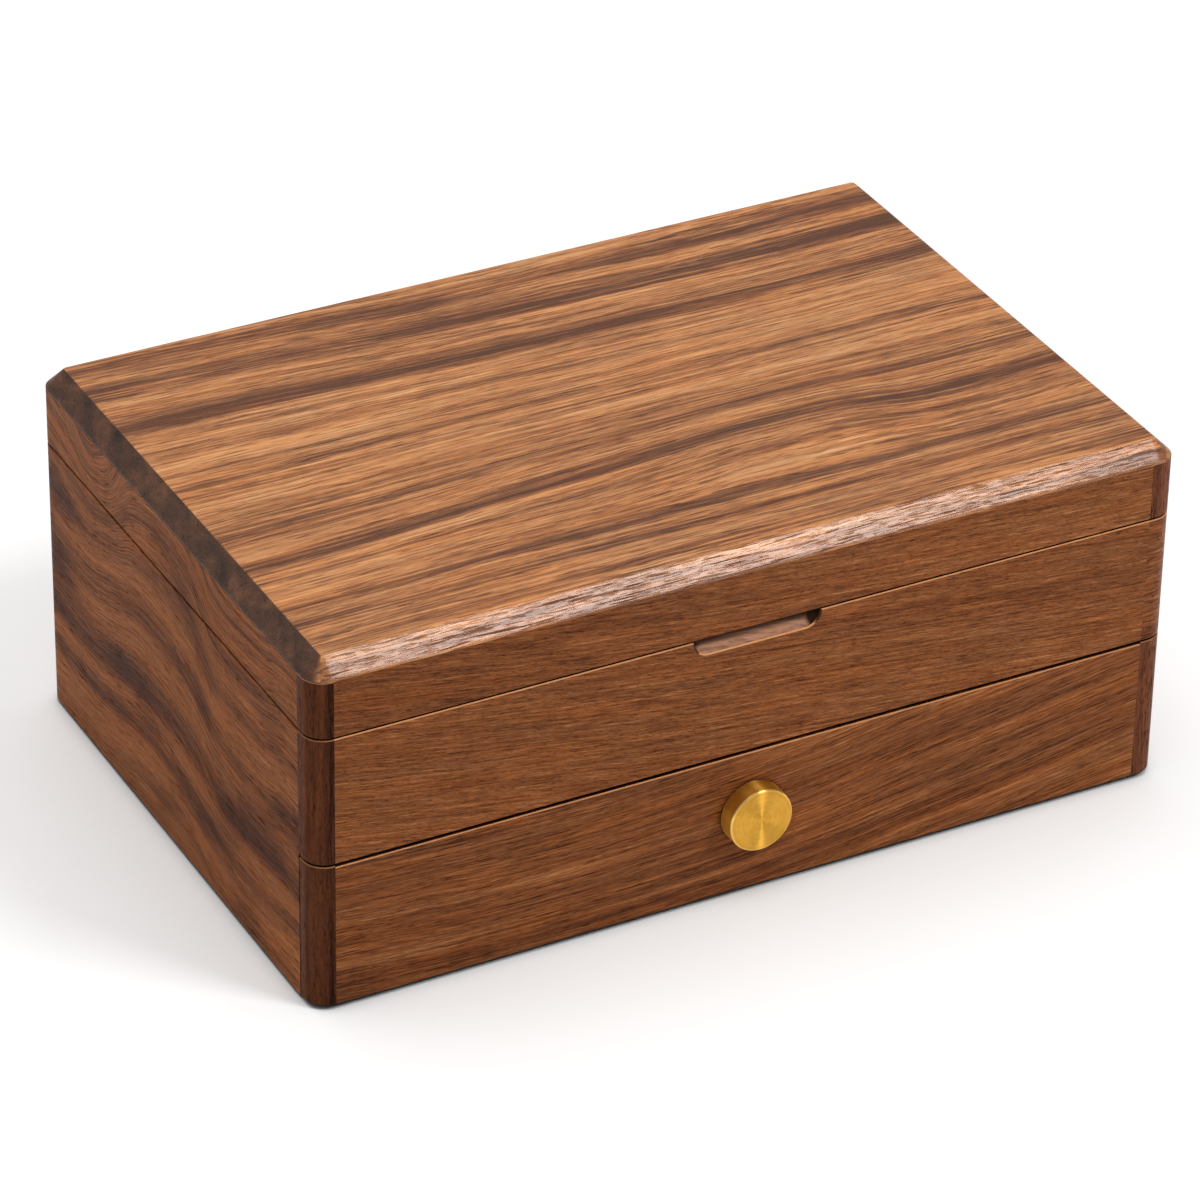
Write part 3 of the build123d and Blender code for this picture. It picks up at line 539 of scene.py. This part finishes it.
# Corner posts: dark pieces with upright grain; the middle right one matches the front board
dress(walnut("walnut_left_posts", "Z", "X", POST_TONES, 71.0, FRONT, 1.0, ((-134.5, 2.8, 2.6, 0.26),),
             figure=0.6, fine=0.55, pores=0.4, flecks=0.6, gloss=0.02, arris=0.35, texture=(2, 0.8),
             joint_line=JOINT),
      "upper_front_left_post", "lid_front_left_post", "drawer_front_left_post")
dress(walnut("walnut_right_posts", "Z", "X", RED_POST_TONES, 83.0, FRONT, 1.0, figure=0.8, fine=0.6,
             curl=0.08, flecks=0.5, gloss=0.02, arris=0.35, texture=(2, 0.9)),
      "lid_front_right_post", "drawer_front_right_post", "rear_right_post", "lid_rear_right_post")
dress(walnut("walnut_middle_post", "X", "Z", FRONT_TONES, 23.0, FRONT, figure=0.45, level=-0.03,
             curl=0.05, ends=(0, 0)),
      "upper_front_right_post")

# Inside: sides and dividers of the tray and the drawer, deck, base and drawer bottom
dress(walnut("walnut_inside", "Y", "Z", SIDE_TONES, 97.0, figure=0.6, level=0.1, gloss=0.02, arris=0.3),
      "drawer_left_side", "drawer_right_side", "left_runner", "right_runner", "drawer_stop_block",
      "tray_ring_divider", "tray_cross_divider", "drawer_left_divider", "drawer_right_divider")
dress(walnut("walnut_inside_cross", "X", "Z", SIDE_TONES, 103.0, figure=0.6, level=0.1, gloss=0.02,
             arris=0.3),
      "drawer_back", "tray_long_divider", "drawer_long_divider")
dress(walnut("walnut_panels", "X", "Y", SIDE_TONES, 109.0, figure=0.8, level=0.05, gloss=0.02, arris=0),
      "tray_deck", "base_panel", "drawer_bottom")


# Turned brass: rings and bands of wear, per millimetre from the axis and along it
TURNED_RINGS = (9.0, 9.0)
TURNED_BANDS = (1.6, 1.2)
TURNED_MOTTLE = 0.5
# Painted highlight on the rounded rim
RIM_HIGHLIGHT_TONE = tone(255, 216, 130)
RIM_HIGHLIGHT_SHARE = 0.7
RING_ROUGHNESS = 0.02     # how much rougher or smoother than the rest a ring is
RING_DEPTH = 0.0006 * MM
TURNED_SHINE = 0.95       # how far a highlight is drawn out across the rings


def turned_metal(name, light, deep, centre, roughness, axis):
    """Metal turned on a lathe: fine rings round an axis through a centre, given in millimetres.

    roughness is that of the rim and the turned side, and that of the flat face.
    """
    shader = Shader(name)
    spot = dict(zip("XYZ", shader.place()))
    away = [shader.minus(spot[key], middle) for key, middle in zip("XYZ", centre) if key != axis]
    squares = [shader.times(value, value) for value in away]
    radius = shader.math("SQRT", shader.add(*squares))
    rings = shader.level(radius, spot[axis], TURNED_RINGS, detail=3)
    bands = shader.level(radius, spot[axis], TURNED_BANDS, 4.0, detail=1)
    mottle = shader.cloud(spot.values(), TURNED_MOTTLE, detail=2)
    worn = shader.add(shader.times(bands, 0.45), shader.times(mottle, 0.5), 0.02)
    colour = shader.mix(shader.between(worn, 0.3, 0.7), deep, light)
    facing = shader.facing(axis)
    flat = shader.between(facing, 0.9, 0.98)
    # Painted highlight where the rim turns from the face to the side
    rim = shader.times(shader.between(facing, 0.1, 0.4), shader.minus(1.0, flat))
    colour = shader.mix(shader.times(rim, RIM_HIGHLIGHT_SHARE), colour, RIM_HIGHLIGHT_TONE)
    side, face = roughness
    rough = shader.add(shader.between(rings, 0.3, 0.7, -RING_ROUGHNESS, RING_ROUGHNESS),
                       shader.math("MULTIPLY_ADD", flat, face - side, side))
    tangent = shader.node("Tangent", direction_type="RADIAL", axis=axis).outputs[0]
    return shader.finish(colour, rough, rings, RING_DEPTH, tangent=tangent, Metallic=1.0,
                         Anisotropic=TURNED_SHINE, Anisotropic_Rotation=0.25)


# Drawn brass and steel: fine lines along the piece, and soft marks, per millimetre
DRAWN_ALONG = 0.6
DRAWN_ACROSS = 14.0
DRAWN_MARKS = 0.7
DRAWN_DEPTH = 0.0015 * MM
DRAWN_EDGE = 0.08 * MM


def brushed_metal(name, light, deep, roughness, along="X"):
    """Drawn metal with fine lines along an axis and a few soft marks."""
    shader = Shader(name)
    spot = dict(zip("XYZ", shader.place()))
    lines = shader.noise(*(shader.times(value, DRAWN_ALONG if axis == along else DRAWN_ACROSS)
                           for axis, value in spot.items()), detail=2)
    marks = shader.cloud(spot.values(), DRAWN_MARKS, detail=3)
    colour = shader.mix(shader.between(marks, 0.35, 0.65), deep, light)
    rough = shader.between(marks, 0.3, 0.7, roughness, roughness + 0.03)
    return shader.finish(colour, rough, lines, DRAWN_DEPTH, DRAWN_EDGE, Metallic=1.0)


def lathe(profile, frame_matrix, sides):
    """Closed solid turned from (along, radius) points about the local Z axis, in millimetres."""
    form = bmesh.new()
    rows = []
    for along, radius in profile:
        if radius == 0:
            rows.append([form.verts.new((0, 0, along * MM))])
            continue
        turns = [2 * math.pi * index / sides for index in range(sides)]
        rows.append([
            form.verts.new((radius * MM * math.cos(turn), radius * MM * math.sin(turn), along * MM))
            for turn in turns
        ])
    for first, second in zip(rows, rows[1:] + rows[:1]):
        if len(first) == 1 and len(second) == 1:
            continue
        for index in range(sides):
            following = (index + 1) % sides
            ring = [first[index % len(first)], first[following % len(first)],
                    second[following % len(second)], second[index % len(second)]]
            ring = [vertex for place, vertex in enumerate(ring) if vertex not in ring[:place]]
            form.faces.new(ring)
    bmesh.ops.recalc_face_normals(form, faces=form.faces)
    bmesh.ops.transform(form, matrix=frame_matrix, verts=form.verts)
    return form


def quarter(centre_along, centre_radius, radius, start, end, steps):
    """Points of an arc in a lathe profile, angles in degrees from the axis direction."""
    angles = [math.radians(start + (end - start) * step / steps) for step in range(steps + 1)]
    return [(centre_along + radius * math.cos(a), centre_radius + radius * math.sin(a)) for a in angles]


def piece(name, form, material, body, replaced=(), crease=35):
    """Object of the part from a bmesh, with its body and the nodes that it stands for."""
    mesh = bpy.data.meshes.new(name)
    form.to_mesh(mesh)
    form.free()
    mesh.materials.append(material)
    mesh.shade_smooth()
    mesh.set_sharp_from_angle(angle=math.radians(crease))
    made = bpy.data.objects.new(name, mesh)
    bpy.context.scene.collection.objects.link(made)
    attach(made, body)
    if replaced:
        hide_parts(*replaced)
    return made


# Knob: turned brass whose rounded rim gets a painted highlight, drilled for its screw
BRASS_LIGHT, BRASS_DEEP = tone(244, 190, 82), tone(230, 170, 62)
low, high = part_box("knob")
KNOB_RADIUS = (high[0] - low[0]) / 2 / MM
KNOB_LENGTH = (high[1] - low[1]) / MM
KNOB_CENTRE = [(a + b) / 2 / MM for a, b in zip(low, high)]
KNOB_RIM = 0.7            # radius of the rounded rim, and of the edge at the back
KNOB_BACK = 0.3
KNOB_BORE = (2.05, 4.7)   # radius and depth of the screw's hole
KNOB_FACE = (8.6, 6.0, 3.0, 0)
knob_profile = (
    [(0, KNOB_BORE[0]), (0, KNOB_RADIUS - KNOB_BACK)]
    + quarter(KNOB_BACK, KNOB_RADIUS - KNOB_BACK, KNOB_BACK, 180, 90, 3)
    + quarter(KNOB_LENGTH - KNOB_RIM, KNOB_RADIUS - KNOB_RIM, KNOB_RIM, 90, 0, 6)
    + [(KNOB_LENGTH, radius) for radius in KNOB_FACE]
    + [(KNOB_BORE[1], 0), (KNOB_BORE[1], KNOB_BORE[0])]
)
knob_frame = Matrix.Translation((KNOB_CENTRE[0] * MM, high[1], KNOB_CENTRE[2] * MM))
knob_frame = knob_frame @ Matrix.Rotation(math.radians(90), 4, "X")
knob_metal = turned_metal("turned_brass", BRASS_LIGHT, BRASS_DEEP, KNOB_CENTRE, (0.34, 0.5), "Y")
piece("knob_turned", lathe(knob_profile, knob_frame, 128), knob_metal, "drawer", ["knob"])

# Hinges and their pins
HINGE_LIGHT, HINGE_DEEP = tone(244, 212, 138), tone(230, 194, 116)
dress(brushed_metal("hinge_brass", HINGE_LIGHT, HINGE_DEEP, 0.36),
      "left_hinge_case_leaf", "right_hinge_case_leaf", "left_hinge_lid_leaf", "right_hinge_lid_leaf",
      "left_hinge_pin", "right_hinge_pin")
dress(brushed_metal("screw_brass", HINGE_LIGHT, HINGE_DEEP, 0.3, "Z"),
      "case_leaf_screws", "lid_leaf_screws", "runner_screws")
dress(brushed_metal("screw_steel", tone(176, 176, 178), tone(140, 140, 144), 0.3, "Y"), "knob_screw")


def fabric(name, light, deep, nap, weave, roughness, sheen, bump):
    """Napped fabric: soft patches where the nap lies differently, over a short pile.

    nap and weave are blotches of the patches and of the pile per millimetre, bump their depth.
    """
    shader = Shader(name)
    spot = shader.place()
    patches = shader.cloud(spot, nap, detail=3)
    pile = shader.cloud(spot, weave, detail=3, roughness=0.7)
    level = shader.add(shader.times(patches, 0.6), shader.times(pile, 0.4))
    colour = shader.mix(shader.between(level, 0.35, 0.65), deep, light)
    return shader.finish(colour, roughness, pile, bump * MM, Sheen_Weight=sheen, Sheen_Roughness=0.4,
                         Specular_IOR_Level=0.1)


suede = fabric("suede", tone(212, 190, 162), tone(192, 169, 141), 0.14, 3.2, 0.9, 0.35, 0.10)
felt = fabric("felt", tone(34, 33, 33), tone(22, 21, 21), 0.3, 2.4, 0.95, 0.2, 0.18)
rubber = fabric("bumper_rubber", tone(66, 62, 58), tone(50, 47, 44), 0.8, 5.0, 0.6, 0.0, 0.02)


# Slabs of fabric
SLAB_INSETS = (0, 0.12, 0.3, 0.55, 1)    # rows of the drawn-in edge, as shares of its width
SLAB_RIM = 0.35           # share of the thickness that is left at the rim
SLAB_STEP = 6.0           # about the distance of the rows in the middle


def slab_lines(low, high, edge):
    """Places of a slab's rows on one axis: close together at its edges and even in the middle."""
    inner = [low + edge * MM * share for share in SLAB_INSETS]
    outer = [low + high - place for place in reversed(inner)]
    count = max(2, round((high - low) / (SLAB_STEP * MM)))
    middle = [inner[-1] + (outer[0] - inner[-1]) * index / count for index in range(1, count)]
    return inner + middle + outer


def soft_slab(low, high, edge, puff=0.0, side=1):
    """Slab of fabric whose edges are drawn in on its show side: up for side 1, down for side -1.

    puff is the share of its thickness by which the middle stands out.
    """
    xs, ys = (slab_lines(low[axis], high[axis], edge) for axis in range(2))

    def height(x, y):
        share = min(1.0, min(x - low[0], high[0] - x, y - low[1], high[1] - y) / (edge * MM))
        crown = (math.sin(math.pi * (x - low[0]) / (high[0] - low[0]))
                 * math.sin(math.pi * (y - low[1]) / (high[1] - low[1])))
        full = 1 - puff + puff * crown
        return (high[2] - low[2]) * full * (SLAB_RIM + (1 - SLAB_RIM) * math.sqrt(1 - (1 - share) ** 2))

    form = bmesh.new()
    base = low[2] if side > 0 else high[2]
    show, back = [], []
    for x in xs:
        show.append([form.verts.new((x, y, base + side * height(x, y))) for y in ys])
        back.append([form.verts.new((x, y, base)) for y in ys])
    for rows in (show, back):
        for first, second in zip(rows, rows[1:]):
            for index in range(len(ys) - 1):
                form.faces.new((first[index], second[index], second[index + 1], first[index + 1]))
    last_x, last_y = len(xs) - 1, len(ys) - 1
    rim = [(i, 0) for i in range(last_x + 1)] + [(last_x, j) for j in range(1, last_y + 1)]
    rim += [(i, last_y) for i in range(last_x - 1, -1, -1)] + [(0, j) for j in range(last_y - 1, 0, -1)]
    for (a, b), (c, d) in zip(rim, rim[1:] + rim[:1]):
        form.faces.new((show[a][b], show[c][d], back[c][d], back[a][b]))
    bmesh.ops.recalc_face_normals(form, faces=form.faces)
    return form


# Linings of the tray, the drawer and the lid, and the felt under the base
LINING_EDGE = 0.8         # widths of the drawn-in edges, in millimetres
PAD_EDGE = 5.0
FELT_EDGE = 0.5
for node, body, held_by in (
    ("tray_lining", "case", "tray_deck"), ("drawer_lining", "drawer", "drawer_bottom"),
):
    low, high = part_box(node)
    sheet = piece(f"{node}_suede", soft_slab(low, high, LINING_EDGE), suede, body, [node],
                  crease=60)
low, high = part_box("lid_lining")
lid_pad = piece("lid_lining_pad", soft_slab(low, high, PAD_EDGE, puff=0.25, side=-1), suede, "lid",
                ["lid_lining"], crease=60)
low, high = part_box("base_felt")
base_sheet = piece("base_felt_sheet", soft_slab(low, high, FELT_EDGE, side=-1), felt, "case",
                   ["base_felt"], crease=60)

# Bumper dots, slightly domed
low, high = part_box("lid_bumpers")
BUMPER_RADIUS = (high[1] - low[1]) / 2
BUMPER_EDGE = 0.3
BUMPER_DOME = 0.03
radius, thick = BUMPER_RADIUS / MM, (high[2] - low[2]) / MM
profile = (
    [(0, 0), (0, radius)]
    + quarter(thick - BUMPER_EDGE, radius - BUMPER_EDGE, BUMPER_EDGE, 90, 15, 3)
    + [(thick - BUMPER_DOME, radius * 0.5), (thick, 0)]
)
dots = bmesh.new()
for centre_x in (low[0] + BUMPER_RADIUS, high[0] - BUMPER_RADIUS):
    part = lathe(profile, Matrix.Translation((centre_x, (low[1] + high[1]) / 2, low[2])), 40)
    mesh = bpy.data.meshes.new("dot")
    part.to_mesh(mesh)
    part.free()
    dots.from_mesh(mesh)
    bpy.data.meshes.remove(mesh)
piece("bumper_dots", dots, rubber, "case", ["lid_bumpers"], crease=50)


# Ring rolls: foam wrapped in suede, blown up a little as cloth so that the cover looks filled
ROLL_STEPS = 18            # frames of the cloth simulation
ROLL_SHRINK = 0.9          # start this much inside the CAD form, in millimetres
ROLL_CAP = 1.0             # how far a point of the cover may move, in millimetres
ROLL_VOXEL = 2.2
ROLL_PRESSURE = 4.0
ROLL_CROWN = 14            # rows of points over the crown
ROLL_STATIONS = (0, 0.012, 0.035, 0.08, 0.2, 0.35, 0.5, 0.65, 0.8, 0.92, 0.965, 0.988, 1)
ROLL_TAPER = 0.035         # share of the length over which an end is drawn in
ROLL_END = 0.86            # what is left of the width at the very end


def roll_section(half, height):
    """D-shaped section (across, up) of a roll: a flat sole, upright flanks and a round crown."""
    points = [(-half, 0.0), (half, 0.0), (half, (height - half) * 0.5)]
    for index in range(ROLL_CROWN + 1):
        turn = math.pi * index / ROLL_CROWN
        points.append((half * math.cos(turn), height - half + half * math.sin(turn)))
    points.append((-half, (height - half) * 0.5))
    return points


def roll_form(low, high):
    """Roll between two corners in metres, slimmer towards its ends."""
    length = high[0] - low[0] - 2 * ROLL_SHRINK * MM
    half = (high[1] - low[1]) / 2 - ROLL_SHRINK * MM
    height = high[2] - low[2] - ROLL_SHRINK * MM
    form = bmesh.new()
    rows = []
    for share in ROLL_STATIONS:
        near = min(share, 1 - share) / ROLL_TAPER
        draw = 1.0 if near >= 1 else ROLL_END + (1 - ROLL_END) * math.sqrt(1 - (1 - near) ** 2)
        rows.append([
            form.verts.new((low[0] + ROLL_SHRINK * MM + share * length,
                            (low[1] + high[1]) / 2 + across * draw, low[2] + up * (0.5 + 0.5 * draw)))
            for across, up in roll_section(half, height)
        ])
    for first, second in zip(rows, rows[1:]):
        for index in range(len(first)):
            following = (index + 1) % len(first)
            form.faces.new((first[index], first[following], second[following], second[index]))
    form.faces.new(rows[0])
    form.faces.new(rows[-1])
    bmesh.ops.recalc_face_normals(form, faces=form.faces)
    return form


def keep_modified(made):
    """Turn what the object's modifiers make of its mesh into its own mesh."""
    graph = bpy.context.evaluated_depsgraph_get()
    mesh = bpy.data.meshes.new_from_object(made.evaluated_get(graph))
    made.modifiers.clear()
    made.data = mesh
    return mesh


def fill_with_foam(made, floor):
    """Blow a closed cover up as cloth by a little, and keep it above a floor."""
    remesh = made.modifiers.new("even", "REMESH")
    remesh.mode = "VOXEL"
    remesh.voxel_size = ROLL_VOXEL * MM
    start = [vertex.co.copy() for vertex in keep_modified(made).vertices]
    cloth = made.modifiers.new("cover", "CLOTH")
    cloth.settings.quality = 5
    cloth.settings.use_pressure = True
    cloth.settings.uniform_pressure_force = ROLL_PRESSURE
    cloth.settings.effector_weights.gravity = 0
    cloth.point_cache.frame_start = 1
    cloth.point_cache.frame_end = ROLL_STEPS
    scene = bpy.context.scene
    for step in range(1, ROLL_STEPS + 1):
        scene.frame_set(step)
    filled = keep_modified(made)
    scene.frame_set(1)
    for vertex, origin in zip(filled.vertices, start):
        move = vertex.co - origin
        if move.length > ROLL_CAP * MM:
            vertex.co = origin + move.normalized() * ROLL_CAP * MM
        vertex.co.z = max(vertex.co.z, floor)


def finish_roll(made):
    """Smooth cover with one subdivision, kept as the piece's own mesh."""
    smooth = made.modifiers.new("smooth", "SMOOTH")
    smooth.factor = 0.5
    smooth.iterations = 4
    finer = made.modifiers.new("finer", "SUBSURF")
    finer.levels = 1
    finer.render_levels = 1
    keep_modified(made).shade_smooth()


first_low, first_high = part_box("ring_roll_1")
cover = piece("ring_roll_cover_1", roll_form(first_low, first_high), suede, "case",
              ["ring_roll_1"])
fill_with_foam(cover, first_low[2])
finish_roll(cover)
cover.data.materials.clear()
cover.data.materials.append(suede)
roll_names = sorted(name for name in nodes if name.startswith("ring_roll_"))
for index, name in enumerate(roll_names[1:], start=2):
    low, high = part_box(name)
    form = bmesh.new()
    form.from_mesh(cover.data)
    shift = Matrix.Translation(Vector(low) - Vector(first_low))
    if index % 2 == 0:    # every second cover is the first one's mirror image
        middle_x = (low[0] + high[0]) / 2
        there, here = Matrix.Translation((middle_x, 0, 0)), Matrix.Translation((-middle_x, 0, 0))
        shift = there @ Matrix.Diagonal((-1, 1, 1, 1)) @ here @ shift
    bmesh.ops.transform(form, matrix=shift, verts=form.verts)
    bmesh.ops.recalc_face_normals(form, faces=form.faces)
    roll = piece(f"ring_roll_cover_{index}", form, suede, "case", [name], crease=80)

# Floor: pale paper that adds white for the camera, with painted shade that takes some of it away round
# the box and a painted contact shadow at its foot
FLOOR_HALF = 40.0
FLOOR_GRAIN = (0.02, 0.02)
FLOOR_TONES = ((0.0, tone(250, 250, 250)), (1.0, tone(253, 253, 253)))
# Painted contact shadow at the box's foot, and painted shade round the box
FOOT_SHADOW_TONE = tone(8, 7, 7)
FOOT_REACH = 2.5 * MM
FOOT_OPENNESS = (0.25, 0.66)
FLOOR_GLOW = 0.22         # white that the floor adds, over what the lamps give it
CONTACT_REACH = 9 * MM
CONTACT_OPENNESS = (0.25, 0.85)
floor_corners = [(-FLOOR_HALF, -FLOOR_HALF, 0), (FLOOR_HALF, -FLOOR_HALF, 0),
                 (FLOOR_HALF, FLOOR_HALF, 0), (-FLOOR_HALF, FLOOR_HALF, 0)]
floor_mesh = bpy.data.meshes.new("floor")
floor_mesh.from_pydata(floor_corners, [], [(0, 1, 2, 3)])
floor = bpy.data.objects.new("floor", floor_mesh)
bpy.context.scene.collection.objects.link(floor)
shader = Shader("floor_paper")
floor_x, floor_y = shader.place()[:2]
paper = shader.ramp(shader.level(floor_x, floor_y, FLOOR_GRAIN), FLOOR_TONES)
# Painted contact shadow: the paper falls to near black where the box stands close over it
foot = shader.between(shader.openness(FOOT_REACH, 8), *FOOT_OPENNESS, 1.0, 0.0)
paper = shader.mix(foot, paper, FOOT_SHADOW_TONE)
seen = shader.node("LightPath").outputs
shown = shader.math("ADD", shader.add(seen["Is Camera Ray"], seen["Is Glossy Ray"]),
                    seen["Is Transmission Ray"], clamp=True)
# Painted shade: less of the camera's white where the box hides much of the surroundings
clear = shader.between(shader.openness(CONTACT_REACH, 8), *CONTACT_OPENNESS, 0.0, FLOOR_GLOW)
floor_mesh.materials.append(shader.finish(paper, 0.9, Specular_IOR_Level=0.1, Emission_Color=WHITE,
                                          Emission_Strength=shader.times(shown, clear)))

# Light: a white world and two lamps
AMBIENT = 0.44
world = bpy.data.worlds.new("studio")
bpy.context.scene.world = world
world.use_nodes = True
background = world.node_tree.nodes["Background"]
background.inputs["Color"].default_value = WHITE
background.inputs["Strength"].default_value = AMBIENT


def softbox(name, direction, distance, size, power):
    """Square area light in a direction from the box, facing it."""
    lamp = bpy.data.lights.new(name, "AREA")
    lamp.shape = "SQUARE"
    lamp.size = size
    lamp.energy = power
    made = bpy.data.objects.new(name, lamp)
    bpy.context.scene.collection.objects.link(made)
    toward = Vector(direction).normalized()
    made.location = CAMERA_AIM + toward * distance
    made.rotation_euler = toward.to_track_quat("Z", "Y").to_euler()


softbox("key_light", (0.403, -0.527, 0.748), distance=5.0, size=1.25, power=86.0)
softbox("top_light", (-0.15, 0.25, 1.0), distance=5.0, size=4.0, power=80.0)

# Camera, at the photograph's viewing angle
CAMERA_AZIMUTH = math.radians(-28.3)
CAMERA_ELEVATION = math.radians(31.79)
CAMERA_ROLL = math.radians(1.1)
CAMERA_DISTANCE = 1.772
AIM_RIGHT = 0.0005        # where the aim lies in the picture, from its middle
AIM_UP = 0.0066
LENS = 178.1
SENSOR = 36.0
back = Vector((
    math.sin(CAMERA_AZIMUTH) * math.cos(CAMERA_ELEVATION),
    -math.cos(CAMERA_AZIMUTH) * math.cos(CAMERA_ELEVATION),
    math.sin(CAMERA_ELEVATION),
))
level_right = Vector((math.cos(CAMERA_AZIMUTH), math.sin(CAMERA_AZIMUTH), 0.0))
level_up = back.cross(level_right)
right = level_right * math.cos(CAMERA_ROLL) + level_up * math.sin(CAMERA_ROLL)
up = level_up * math.cos(CAMERA_ROLL) - level_right * math.sin(CAMERA_ROLL)
camera_data = bpy.data.cameras.new("camera")
camera_data.lens = LENS
camera_data.sensor_width = SENSOR
camera = bpy.data.objects.new("camera", camera_data)
bpy.context.scene.collection.objects.link(camera)
place = CAMERA_AIM - AIM_RIGHT * right - AIM_UP * up + CAMERA_DISTANCE * back
camera.matrix_world = Matrix.Translation(place) @ Matrix((right, up, back)).transposed().to_4x4()
bpy.context.scene.camera = camera
bpy.context.scene.view_settings.view_transform = "Standard"
